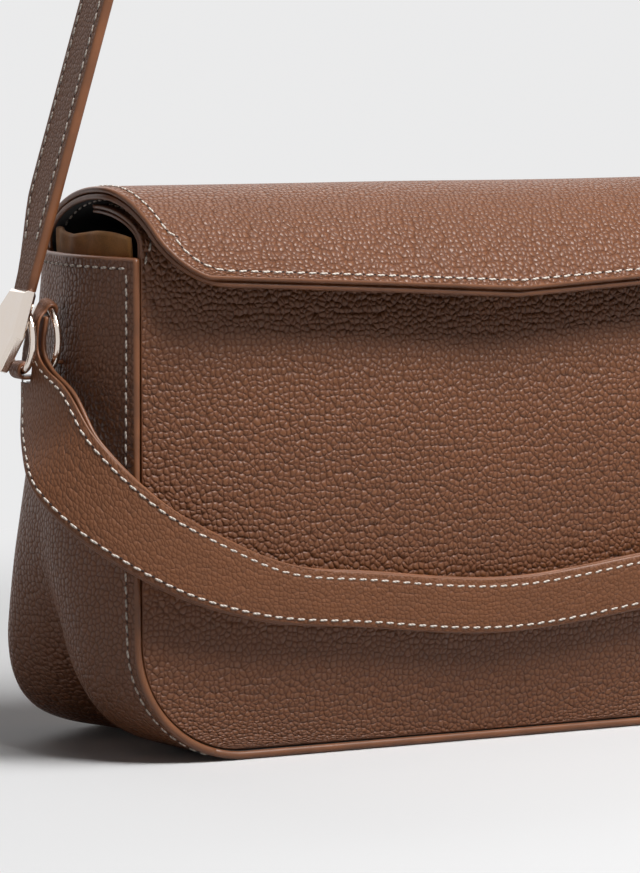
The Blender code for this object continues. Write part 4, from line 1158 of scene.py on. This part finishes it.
LEATHER_OVER_EDGE = ["brown_grain", "painted_edge", "painted_edge"]
LEATHER_OVER_BLACK = ["brown_grain", "painted_edge", "lining_cloth"]
EDGE_OVER_BLACK = ["painted_edge", "painted_edge", "lining_cloth"]
EDGE_OVER_FINE = ["painted_edge", "painted_edge", "fine_grain"]
FINE_OVER_EDGE = ["fine_grain", "painted_edge", "painted_edge"]
FINE_BOTH_SIDES = ["fine_grain", "painted_edge", "fine_grain"]
SUEDE = ["suede"] * 3
CLOTH = ["lining_cloth"] * 3


def panel_alongs(top, count):
    """Places up a panel, closer together in its round corners."""
    corner = CORNER_RADIUS - (CORNER_RADIUS - PANEL_INSET) * np.cos(np.linspace(0, math.pi / 2, 16))
    return np.concatenate([corner, np.linspace(CORNER_RADIUS, top, count)[1:]])


class BAG_OT_front(bpy.types.Operator):
    """Front panel with its rolled edge, and the smooth facing under the roll"""
    bl_idname = "bag.front"
    bl_label = "Front panel"

    def execute(self, context):
        top = CURL_START + CURL_LENGTH
        across = shares(81, close=0.002)[None]
        panel = front_face(across, panel_alongs(top, 90)[:, None])
        made = sheet_piece("front_leather", panel, PANEL_WALL, LEATHER_OVER_BLACK, (0, -1, 0.5))
        settle(made, "bag", "brown_leather", "front_panel")
        rows = np.linspace(FACING_FOOT, top, 40)[:, None]
        inner = beneath(front_face(across, rows), (0, -1, 0.6), PANEL_WALL + GAP)
        made = sheet_piece("front_facing_leather", inner, FACING_WALL, EDGE_OVER_BLACK, (0, -1, 0.6))
        settle(made, "bag", "edge_leather", "front_facing")
        inset = sizes().stitch_inset * 1.1
        rise = np.linspace(ROLL_STITCHES_START, top - inset, 60)
        drawn = inset * (0.30 + 0.70 * ease((rise - rise[0]) / ROLL_STITCHES_DRAWN))
        runs = []
        for side in SIDES.values():
            share = side * (1 - drawn / panel_half(CURL_START))
            runs.append(facing(on_face(front_face, share, rise), (0, -1, 0.7)))
        span = np.linspace(-1, 1, 120) * (1 - inset / panel_half(CURL_START))
        runs.append(facing(on_face(front_face, span, top - inset), (0, 0, 1)))
        settle(stitch_piece("roll_stitches", runs), "bag", "edge_leather")
        return {"FINISHED"}


class BAG_OT_wrap(bpy.types.Operator):
    """Back and flap in one piece of leather, and the inner ply that lines them"""
    bl_idname = "bag.wrap"
    bl_label = "Back and flap"

    def execute(self, context):
        across = shares(75, close=0.0018)[None]
        corner = CORNER_RADIUS - PANEL_INSET
        foot = corner - corner * np.cos(np.linspace(0, math.pi / 2, 14))
        lip = WRAP_LENGTH - FLAP_CORNER * (1 - np.sin(np.linspace(0, math.pi / 2, 12)))
        middle = np.linspace(foot[-1], lip[0], 80)[1:-1]
        upper_lip = lip[0] + (lip - lip[0]) * (1 - LIP_STEP / FLAP_CORNER)
        along = np.concatenate([foot, middle, upper_lip])[:, None]
        outer = wrap_face(across, along)
        made = sheet_piece("wrap_leather", outer, PLY_WALL, LEATHER_OVER_EDGE, (0, 0.4, 1), bead=0.45)
        bend(made, "brown_leather", "back_panel", "flap_leather")
        along = np.concatenate([np.linspace(FACING_FOOT, lip[0], 60)[:-1], lip])[:, None]
        inner = wrap_face(across * 0.9995, along, PLY_WALL + GAP)
        made = sheet_piece("wrap_inner_leather", inner, PLY_WALL, EDGE_OVER_BLACK, (0, 0.4, 1), bead=0.45)
        bend(made, "edge_leather", "back_facing", "flap_lining")
        self.stitch()
        return {"FINISHED"}

    def edge_run(self, inset, deep=0.0):
        """Places just inside the edge: from the middle of the back's foot round its corner, up one side,
        round the flap's lip and back down the other side."""
        turn = np.linspace(0, math.pi / 2, 40)
        round_reach = CORNER_RADIUS - PANEL_INSET - inset
        foot_along = CORNER_RADIUS - PANEL_INSET - round_reach * np.cos(turn)
        foot_x = HALF_WIDTH - CORNER_RADIUS + round_reach * np.sin(turn)
        base_x = np.linspace(0, HALF_WIDTH - CORNER_RADIUS, 40)[:-1]
        rise = np.linspace(CORNER_RADIUS - PANEL_INSET, WRAP_LENGTH - FLAP_CORNER, 230)[1:]
        half = wrap_half(rise)
        angle = np.linspace(0, math.pi / 2, 30)[1:]
        reach = FLAP_CORNER - inset
        corner_along = WRAP_LENGTH - FLAP_CORNER + reach * np.sin(angle)
        corner_x = HALF_WIDTH - FLAP_TAPER - FLAP_CORNER + reach * np.cos(angle)
        lip_x = np.linspace(corner_x[-1], 0, 60)[1:]
        along = np.concatenate([np.full(39, foot_along[0]), foot_along, rise, corner_along,
                                np.full(59, WRAP_LENGTH - inset)])
        x = np.concatenate([base_x, foot_x, half - inset, corner_x, lip_x])
        left = (-x / wrap_half(along), along)
        return tuple(np.concatenate([a, b[-2::-1]]) for a, b in zip(left, (-left[0], left[1])))

    def stitch(self):
        """Stitches along the edge outside, and under the flap."""
        inset = sizes().stitch_inset
        across, along = self.edge_run(inset + LIP_STEP / 2)
        run = facing(on_face(wrap_face, across, along), (0, 0.35, 1))
        bend(stitch_piece("wrap_stitches", [run]), "edge_leather")
        depth = 2 * PLY_WALL + GAP
        under = facing(on_face(partial(wrap_face, inset=depth), across, along), (0, -0.35, -1))
        keep = along > HEM_LENGTH - 0.015
        bend(stitch_piece("wrap_under_stitches", [(under[0][keep], under[1][keep])]), "edge_leather")


class BAG_OT_gussets(bpy.types.Operator):
    """Bulging gussets with their creases, the suede facings above them and their stitches"""
    bl_idname = "bag.gussets"
    bl_label = "Gussets"

    def execute(self, context):
        for key, side in SIDES.items():
            depth = shares(49, 0.0, 1.0, close=0.006)[None]
            down = np.concatenate([[0, 0.0006], np.linspace(0.002, SIDE_LENGTH, 90)])[:, None]
            face = side_face(side, depth, down)
            made = sheet_piece("gusset_leather_" + key, face, BAND_LEATHER, LEATHER_OVER_BLACK, (side, 0, 0),
                               bead=0.40)
            settle(made, "bag", "brown_leather", "gusset_" + key)
            settle(self.facing_strip(key, side), "bag", "tan_facing", "gusset_facing_" + key)
            settle(self.stitches(key, side), "bag", "edge_leather")
        return {"FINISHED"}

    def facing_strip(self, key, side):
        """Suede strip: follows the gusset's ridge inside it and stands above its hem."""
        front = FRONT_Y + FACING_FRONT_INSET
        back = back_y(HEM_HEIGHT) - FACING_BACK_INSET
        y = np.linspace(front, back, 33)[None]
        height = np.linspace(FACING_FOOT, FACING_TOP, 24)[:, None]
        depth = (y - FRONT_Y) / (back_y(np.minimum(height, HEM_HEIGHT)) - FRONT_Y)
        out = ridge_proud(np.minimum(height, HEM_HEIGHT)) * ridge_section(depth)
        wave = SUEDE_WAVE * np.sin(y * 420 + side) * ease((height - HEM_HEIGHT) / 0.006)
        x = HALF_WIDTH + out - BAND_WALL - 2 * GAP + wave
        lift = SUEDE_TOP_WAVE * np.sin(y * 150 + side) * ease((height - HEM_HEIGHT) / 0.007)
        face = points_of(side * x, y, height + lift)
        return sheet_piece("facing_suede_" + key, face, SUEDE_WALL, SUEDE, (side, 0, 0), 0.8)

    def stitches(self, key, side):
        """Lines down the front and back of the gusset and along its hem."""
        inset = sizes().stitch_inset
        down = np.linspace(0.004, SIDE_LENGTH, 150)
        height = np.maximum(HEM_HEIGHT - down, 0)
        share = inset / (back_y(height) - FRONT_Y)
        surface = partial(side_face, side)
        runs = [facing(on_face(surface, share, down), (side, 0, -0.4)),
                facing(on_face(surface, 1 - share, down), (side, 0, -0.4))]
        hem = np.linspace(share[0], 1 - share[0], 60)
        runs.append(facing(on_face(surface, hem, inset * 0.9), (side, 0, 0)))
        return stitch_piece("gusset_stitches_" + key, runs)


class BAG_OT_base(bpy.types.Operator):
    """Base strip, and the board inside"""
    bl_idname = "bag.base"
    bl_label = "Base"

    def execute(self, context):
        across = shares(71, close=0.001)[:, None]
        depth = shares(25, 0.0, 1.0, close=0.006)[None]
        made = sheet_piece("base_leather", base_face(across, depth), BAND_LEATHER, LEATHER_OVER_BLACK,
                           (0, 0, -1), bead=0.40)
        settle(made, "bag", "brown_leather", "base_panel")
        refinish("base_board", "fibre_board")
        return {"FINISHED"}


class BAG_OT_lining(bpy.types.Operator):
    """Black lining of the front, back, sides and floor, and the slip pocket"""
    bl_idname = "bag.lining"
    bl_label = "Lining"

    def execute(self, context):
        top = FACING_FOOT - GAP
        rise = panel_alongs(top, 40)[:, None]
        across = shares(41)[None]
        front = beneath(front_face(across, rise), (0, -1, 0), PANEL_WALL + GAP)
        made = sheet_piece("lining_cloth_front", front, LINING_WALL, CLOTH, (0, -1, 0))
        settle(made, "bag", "black_lining", "lining_front")
        x = across * panel_half(rise)
        back = points_of(x, back_y(rise) - PLY_WALL - GAP, rise)
        made = sheet_piece("lining_cloth_back", back, LINING_WALL, CLOTH, (0, 1, 0))
        settle(made, "bag", "black_lining", "lining_back")
        for key, side in SIDES.items():
            down = np.linspace(HEM_HEIGHT - top, SIDE_LENGTH + 0.006, 50)[:, None]
            depth = np.linspace(0.06, 0.94, 31)[None]
            face = beneath(side_face(side, depth, down), (side, 0, 0), BAND_WALL + GAP)
            made = sheet_piece("lining_cloth_" + key, face, LINING_WALL, CLOTH, (side, 0, 0))
            settle(made, "bag", "black_lining", "lining_" + key)
        low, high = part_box("lining_base")
        x = np.linspace(low[0], high[0], 41)[None]
        y = np.linspace(low[1], high[1], 17)[:, None]
        floor = points_of(x, y, high[2] + FLOOR_CLOTH_WAVES * slow_waves(x, y) - FLOOR_CLOTH_WAVES)
        made = sheet_piece("lining_cloth_floor", floor, LINING_WALL * 0.8, CLOTH, (0, 0, 1))
        settle(made, "bag", "black_lining", "lining_base")
        settle(self.pocket(), "bag", "black_lining", "slip_pocket")
        return {"FINISHED"}

    def pocket(self):
        """Slip pocket: a cloth pouch against the back lining, its mouth a little open and hemmed."""
        gather = np.linspace(-1, 1, 61)[None]
        height = np.concatenate([np.linspace(POCKET_FLOOR, POCKET_TOP - POCKET_HEM, 24),
                                 np.linspace(POCKET_TOP - POCKET_HEM, POCKET_TOP, 8)[1:]])[:, None]
        belly = np.sqrt(np.clip(1 - np.abs(gather) ** 6, 0, 1))
        rise = (height - POCKET_FLOOR) / (POCKET_TOP - POCKET_FLOOR)
        depth = POCKET_GAP * belly * (0.25 + 0.75 * np.sqrt(np.clip(rise, 0, 1)))
        hem = POCKET_HEM_WALL * ease((height - POCKET_TOP + POCKET_HEM) / 0.001)
        lining = back_y(height) - PLY_WALL - 2 * GAP - LINING_WALL
        face = points_of(gather * (POCKET_HALF_WIDTH + hem), lining - depth - hem - LINING_WALL, height)
        return sheet_piece("slip_pocket_cloth", face, LINING_WALL, CLOTH, (0, -1, 0))


class BAG_OT_handle(bpy.types.Operator):
    """Short handle: an outer ply folded round the rings, its backing, and two lines of stitches"""
    bl_idname = "bag.handle"
    bl_label = "Handle"

    def execute(self, context):
        looped = handle_edges(420, True)
        plain = handle_edges(380, False)
        outer = handle_face(looped, 0.0, HANDLE_CROWN)
        run = metres_along(outer, 0)[:, :1, None]
        thin = ease((np.minimum(run, run.max() - run) - LOOP_THIN_LENGTH) / LOOP_THICKENS)
        wall = LOOP_WALL + (HANDLE_PLY - LOOP_WALL) * thin
        made = sheet_piece("handle_outer_leather", outer, wall, FINE_OVER_EDGE, (0, -1, 0), bead=0.5)
        self.notch(made)
        settle(made, "handle", "brown_leather", "handle_leather")
        inner = handle_face(plain, HANDLE_PLY + GAP, 0.0)
        made = sheet_piece("handle_inner_leather", inner, HANDLE_BACKING, EDGE_OVER_FINE, (0, -1, 0),
                           bead=0.5)
        self.notch(made)
        settle(made, "handle", "edge_leather", "handle_backing")
        front, rear = plain
        half = np.linalg.norm(front - rear, axis=-1)[:, None] / 2
        normals = handle_normals(plain)
        keep = HANDLE_STITCHES_KEPT
        runs = []
        for depth, sign in ((-0.0001, 1), (HANDLE_PLY + GAP + HANDLE_BACKING, -1)):
            for edge, inset in HANDLE_STITCH_INSETS:
                line = (front + rear) / 2 + (rear - front) / 2 * edge * (1 - inset / half) - normals * depth
                runs.append((line[keep], sign * normals[keep]))
        settle(stitch_piece("handle_stitches", runs), "handle", "edge_leather")
        return {"FINISHED"}

    def notch(self, made):
        """Notches in the rear edge that the tabs pass through."""
        for side in SIDES.values():
            corners = NOTCH_CORNERS * [side, 1, 1]
            carve(made, corners.min(axis=0), corners.max(axis=0))


class BAG_OT_strap(bpy.types.Operator):
    """Shoulder strap in two lengths, with stitches, a slot for the prong, and the keeper"""
    bl_idname = "bag.strap"
    bl_label = "Shoulder strap"

    def execute(self, context):
        half = STRAP_WALL / 2
        inset = sizes().stitch_inset * 0.85
        runs = []
        for key, line, side in (("long", long_line, -1), ("short", short_line, 1)):
            made = sheet_piece("strap_leather_" + key, strap_face(line(half)), STRAP_WALL, FINE_BOTH_SIDES,
                               (side, 0, 0.3), bead=0.30, rim_steps=7)
            self.slot(made)
            settle(made, "strap", "brown_leather", "strap_" + key)
            normal = unit(line(0.001) - line(0.0))[STRAP_STITCHES_KEPT]
            for offset, sign in ((half, 1), (-half, -1)):
                path = line(offset)[STRAP_STITCHES_KEPT]
                for edge in (-1, 1):
                    reach = edge * (STRAP_HALF_WIDTH - inset) - (edge > 0) * narrowing(path)
                    runs.append((path + Y_AXIS * reach[:, None], sign * normal))
        settle(stitch_piece("strap_stitches", runs), "strap", "edge_leather")
        self.keeper()
        return {"FINISHED"}

    def slot(self, made):
        """Cuts the prong's slot through the strap."""
        turn = np.array([run_direction(1), Y_AXIS, run_outward(1)])
        carve(made, -SLOT_HALF, SLOT_HALF, (turn, run_point(1, SLOT_ALONG)))

    def keeper(self):
        """Leather loop round both straps, its section a rounded rectangle."""
        lift = STRAP_WALL + GAP
        middle = run_point(1, KEEPER_ALONG, lift / 2)
        half_out = (lift + STRAP_WALL) / 2 + GAP
        half_across = STRAP_HALF_WIDTH + GAP
        angle = np.linspace(0, 2 * math.pi, 49)[:-1]
        circle = np.stack([np.cos(angle), np.sin(angle)], axis=-1)
        rounded = np.sign(circle) * np.abs(circle) ** KEEPER_POWER
        rows = []
        for along_share, wall_share in KEEPER_PROFILE:
            out = rounded[:, :1] * (half_out + KEEPER_WALL * wall_share)
            side = rounded[:, 1:] * (half_across + KEEPER_WALL * wall_share)
            rows.append(middle + run_direction(1) * KEEPER_HALF_LENGTH * along_share + out * run_outward(1)
                        + side * Y_AXIS)
        made = loft_piece("keeper_leather", np.array(rows), "fine_grain", wrap_rows=True)
        settle(made, "keeper", "brown_leather", "strap_keeper")


class BAG_OT_metalwork(bpy.types.Operator):
    """Rings, blocks, rivets, the tabs that hold them, buckle, prong and snap"""
    bl_idname = "bag.metalwork"
    bl_label = "Metalwork"

    def execute(self, context):
        for key, side in SIDES.items():
            for kind, x in (("handle_ring", HANDLE_RING_X), ("strap_ring", STRAP_RING_X)):
                made = self.ring(kind + "_metal_" + key, side * x)
                settle(made, kind + "_" + key, "bright_metal", kind + "_" + key)
            self.block(key, side)
            self.rivet(key, side)
            self.tab(key, side)
        self.buckle()
        return {"FINISHED"}

    def ring(self, name, x):
        """Round ring: a circle of wire in the plane square to X."""
        angle = np.linspace(0, 2 * math.pi, 72, endpoint=False)
        path = points_of(x, RING_Y + RING_RADIUS * np.cos(angle), RING_HEIGHT + RING_RADIUS * np.sin(angle))
        radial = unit(path - np.array([x, RING_Y, RING_HEIGHT]))
        turn = np.linspace(0, 2 * math.pi, 16, endpoint=False)[None, :, None]
        grid = path[:, None] + RING_WIRE * (np.cos(turn) * radial[:, None] + np.sin(turn) * X_AXIS)
        return loft_piece(name, grid, "polished_metal", wrap_rows=True)

    def block(self, key, side):
        """Faceted block: a seven-sided outline, sloped in towards both faces, with a lug for its ring."""
        outline = np.array([(-BLOCK_HALF_WIDTH, BLOCK_RISE), (0.25 * BLOCK_HALF_WIDTH, BLOCK_RISE),
                            (BLOCK_HALF_WIDTH, 0.0), (BLOCK_HALF_WIDTH, -BLOCK_SHOULDER),
                            (BLOCK_TIP_HALF_WIDTH, -BLOCK_TIP),
                            (-BLOCK_TIP_HALF_WIDTH, -BLOCK_TIP), (-BLOCK_HALF_WIDTH, -BLOCK_SHOULDER)])
        half = BLOCK_WALL / 2
        middle = outline.mean(axis=0)
        rows = []
        for height, inset in ((-half, BLOCK_FACET), (-half + BLOCK_FACET, 0), (half - BLOCK_FACET, 0),
                              (half, BLOCK_FACET)):
            ring = outline - np.sign(outline - middle) * inset
            rows.append(block_centre(side) + ring[:, :1] * Y_AXIS
                        + ring[:, 1:] * run_direction(side) + height * run_outward(side))
        made = loft_piece("strap_block_metal_" + key, np.array(rows), "polished_metal", flat=True)
        bevel = made.modifiers.new("soften", "BEVEL")
        bevel.width = 0.00025
        bevel.segments = 2
        settle(made, "strap", "bright_metal", "strap_block_" + key)
        top = np.array([side * STRAP_RING_X, RING_Y, RING_HEIGHT + RING_RADIUS])
        profile = [(0, -1), (0.8, -1), (1, -0.85), (1, 0.85), (0.8, 1), (0, 1)]
        scaled = [(radius * LUG_RADIUS, height * LUG_HALF_WIDTH) for radius, height in profile]
        lug = loft_piece("strap_lug_metal_" + key, turned_grid(scaled, top, (0, 1, 0), 28), "polished_metal")
        settle(lug, "strap", "bright_metal")

    def rivet(self, key, side):
        """Domed rivet head on the tab."""
        low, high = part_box("tab_rivet_" + key)
        foot = low[0] if side > 0 else high[0]
        radius = (high[2] - low[2]) / 2
        wall = high[0] - low[0]
        centre = (foot, (low[1] + high[1]) / 2, (low[2] + high[2]) / 2)
        profile = [(radius * across, wall * high) for across, high in RIVET_PROFILE]
        grid = turned_grid(profile, centre, (side, 0, 0), 32)
        made = loft_piece("tab_rivet_metal_" + key, grid, "polished_metal")
        settle(made, "bag", "bright_metal", "tab_rivet_" + key)

    def tab_x(self, height):
        """How far out the tab's face lies where it follows the gusset's ridge."""
        return HALF_WIDTH + ridge_proud(height) * ridge_section(TAB_DEPTH_SHARE) + GAP + TAB_WALL

    def tab(self, key, side):
        """Leather tab: up the gusset, out under both rings, round and back over their lower wires."""
        foot = RING_HEIGHT - RING_RADIUS
        low = foot - RING_WIRE - GAP - TAB_WALL
        high = foot + TAB_SLACK + RING_WIRE + GAP + TAB_WALL
        reach = (high - low) / 2
        outer = STRAP_RING_X + RING_WIRE + GAP + TAB_WALL - reach
        angle = np.linspace(-math.pi / 2, math.pi / 2, 17)
        rise = np.linspace(TAB_FOOT, low - TAB_LEAVES_BELOW, 12)
        seat = np.stack([self.tab_x(rise), rise], axis=-1)
        turn = flow([seat[-1], *([self.tab_x(low) + out, low + up] for out, up in TAB_TURN)], 16)[1:]
        middle = (low + high) / 2
        round_end = np.stack([outer + reach * np.cos(angle), middle + reach * np.sin(angle)], axis=-1)
        back = np.stack([np.linspace(outer, self.tab_x(high) - TAB_WALL, 10)[1:], np.full(9, high)], axis=-1)
        path = np.concatenate([seat, turn, round_end, back])
        across = shares(9, close=0.03)[None]
        face = points_of(side * path[:, :1], RING_Y + across * TAB_HALF_WIDTH, path[:, 1:])
        made = sheet_piece("side_tab_leather_" + key, face, TAB_WALL, FINE_OVER_EDGE, (side, 0, 0))
        settle(made, "bag", "brown_leather", "side_tab_" + key)

    def buckle(self):
        """Buckle frame: a round wire bent into a rectangle with rounded corners, stepped from bar to bar. The
        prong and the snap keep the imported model's shapes."""
        lift = STRAP_WALL / 2 + GAP + BUCKLE_WIRE
        low = run_point(1, BUCKLE_ALONG - BUCKLE_HALF_LENGTH, lift)
        high = run_point(1, BASE_BAR, 0.0)
        across = Y_AXIS * BUCKLE_HALF_WIDTH
        corners = [low - across, low + across, high + across, high - across]
        share = np.linspace(0, 1, 9)[:, None]
        path = []
        for index, corner in enumerate(corners):
            start = corner + unit(corners[index - 1] - corner) * BUCKLE_CORNER
            end = corner + unit(corners[(index + 1) % 4] - corner) * BUCKLE_CORNER
            path.append((1 - share) ** 2 * start + 2 * share * (1 - share) * corner + share ** 2 * end)
        grid = wire_grid(np.concatenate(path), BUCKLE_WIRE)
        made = loft_piece("buckle_frame_metal", grid, "polished_metal", wrap_rows=True)
        settle(made, "strap", "bright_metal", "buckle_frame")
        for name in ("buckle_prong", "snap_socket", "snap_stud", "snap_socket_plate"):
            refinish(name, "polished_metal")


class BAG_OT_stage(bpy.types.Operator):
    """Pale floor and background, soft lamps and the camera"""
    bl_idname = "bag.stage"
    bl_label = "Stage"

    def execute(self, context):
        self.floor()
        self.world()
        for lamp in LAMPS:
            self.lamp(*lamp)
        self.camera()
        context.scene.view_settings.view_transform = "Standard"
        return {"FINISHED"}

    def floor(self):
        """Disc far larger than the bag, plain near it and melting into the background further out."""
        reach = np.array(FLOOR_REACHES)[:, None]
        angle = np.linspace(0, 2 * math.pi, FLOOR_SIDES, endpoint=False)
        rows = points_of(reach * np.cos(angle), reach * np.sin(angle), FLOOR_HEIGHT)
        faces = quads(len(FLOOR_REACHES), FLOOR_SIDES, wrap_columns=True)
        made = build_mesh("floor", rows, [(faces, 0, np.zeros((len(faces), 4, 2)))], [])
        finish = Finish("floor", Roughness=0.9, Specular_IOR_Level=0.1)
        far = finish.node("VectorMath", {"operation": "LENGTH"}, {0: finish.coordinates("Object")}, 1)
        backdrop = tuple(colours().backdrop)
        seen = finish.background_seen()
        finish.surface(Base_Color=finish.mix(seen, FLOOR_BOUNCE, backdrop))
        glow = finish.node("Emission", {}, {"Color": backdrop, "Strength": 1.0})
        lit = Value(finish.tree, finish.shader.outputs[0])
        share = finish.ease(far, *FLOOR_MELTS) * seen
        finish.output("Material Output", finish.node("MixShader", {}, {0: share, 1: lit, 2: glow}))
        made.data.materials.append(finish.material)

    def world(self):
        """Background: the backdrop's colour where it is seen or reflected, a soft even fill elsewhere."""
        world = bpy.data.worlds.new("backdrop")
        bpy.context.scene.world = world
        world.use_nodes = True
        nodes = Nodes(world.node_tree)
        nodes.set(nodes.tree.nodes["Background"], {"Color": tuple(colours().backdrop)})
        shown = Value(nodes.tree, nodes.tree.nodes["Background"].outputs[0])
        fill = nodes.node("Background", {}, {"Color": (1.0, 1.0, 1.0), "Strength": WORLD_FILL})
        seen = nodes.background_seen()
        nodes.output("World Output", nodes.node("MixShader", {}, {0: seen, 1: fill, 2: shown}))

    def lamp(self, name, place, target, width, height, power):
        """Rectangular soft lamp aimed at a point."""
        data = bpy.data.lights.new(name, "AREA")
        data.shape = "RECTANGLE"
        data.size = width
        data.size_y = height
        data.energy = power
        lamp = bpy.data.objects.new(name, data)
        lamp.visible_camera = False
        aim(lamp, np.array(place), np.array(target) - np.array(place))
        bpy.context.scene.collection.objects.link(lamp)

    def camera(self):
        """Camera at the photograph's place and angle."""
        data = bpy.data.cameras.new("photo_view")
        data.sensor_width = SENSOR
        data.lens = CAMERA_FOCAL_PIXELS / PHOTO_HEIGHT * SENSOR
        data.clip_start = 0.05
        camera = bpy.data.objects.new("photo_view", data)
        look = np.array([math.sin(CAMERA_AZIMUTH) * math.cos(CAMERA_PITCH),
                         math.cos(CAMERA_AZIMUTH) * math.cos(CAMERA_PITCH), -math.sin(CAMERA_PITCH)])
        aim(camera, np.array(CAMERA_PLACE), look)
        bpy.context.scene.collection.objects.link(camera)
        bpy.context.scene.camera = camera


def aim(thing, place, look):
    """Puts a lamp or camera at a place, looking along a direction with its top up."""
    look = unit(look)
    right = unit(np.cross(look, [0.0, 0.0, 1.0]))
    up = np.cross(right, look)
    matrix = np.identity(4)
    matrix[:3, 0] = right
    matrix[:3, 1] = up
    matrix[:3, 2] = -look
    matrix[:3, 3] = place
    thing.matrix_world = matrix.T.tolist()


OPERATORS = (BAG_OT_front, BAG_OT_wrap, BAG_OT_gussets, BAG_OT_base, BAG_OT_lining, BAG_OT_handle,
             BAG_OT_strap, BAG_OT_metalwork, BAG_OT_stage)


class BAG_PT_panel(bpy.types.Panel):
    """Lists the bag's pieces, sizes and colours"""
    bl_idname = "BAG_PT_panel"
    bl_label = "Crossbody Bag"
    bl_space_type = "VIEW_3D"
    bl_region_type = "UI"
    bl_category = "Bag"

    def draw(self, context):
        for group in (context.scene.bag_sizes, context.scene.bag_colours):
            for name in group.bl_rna.properties.keys():
                if name not in ("rna_type", "name"):
                    self.layout.prop(group, name)
        for operator in OPERATORS:
            self.layout.operator(operator.bl_idname)


CLASSES = (BagSizes, BagColours, *OPERATORS, BAG_PT_panel)


def register():
    """Registers the classes and puts their sizes and colours on the scene."""
    for kind in CLASSES:
        bpy.utils.register_class(kind)
    bpy.types.Scene.bag_sizes = PointerProperty(type=BagSizes)
    bpy.types.Scene.bag_colours = PointerProperty(type=BagColours)


def unregister():
    """Takes them away again."""
    del bpy.types.Scene.bag_colours
    del bpy.types.Scene.bag_sizes
    for kind in reversed(CLASSES):
        bpy.utils.unregister_class(kind)


def main():
    """Registers the classes and makes every piece in order."""
    register()
    for operator in OPERATORS:
        group, name = operator.bl_idname.split(".")
        getattr(getattr(bpy.ops, group), name)()


if __name__ == "__main__":
    main()
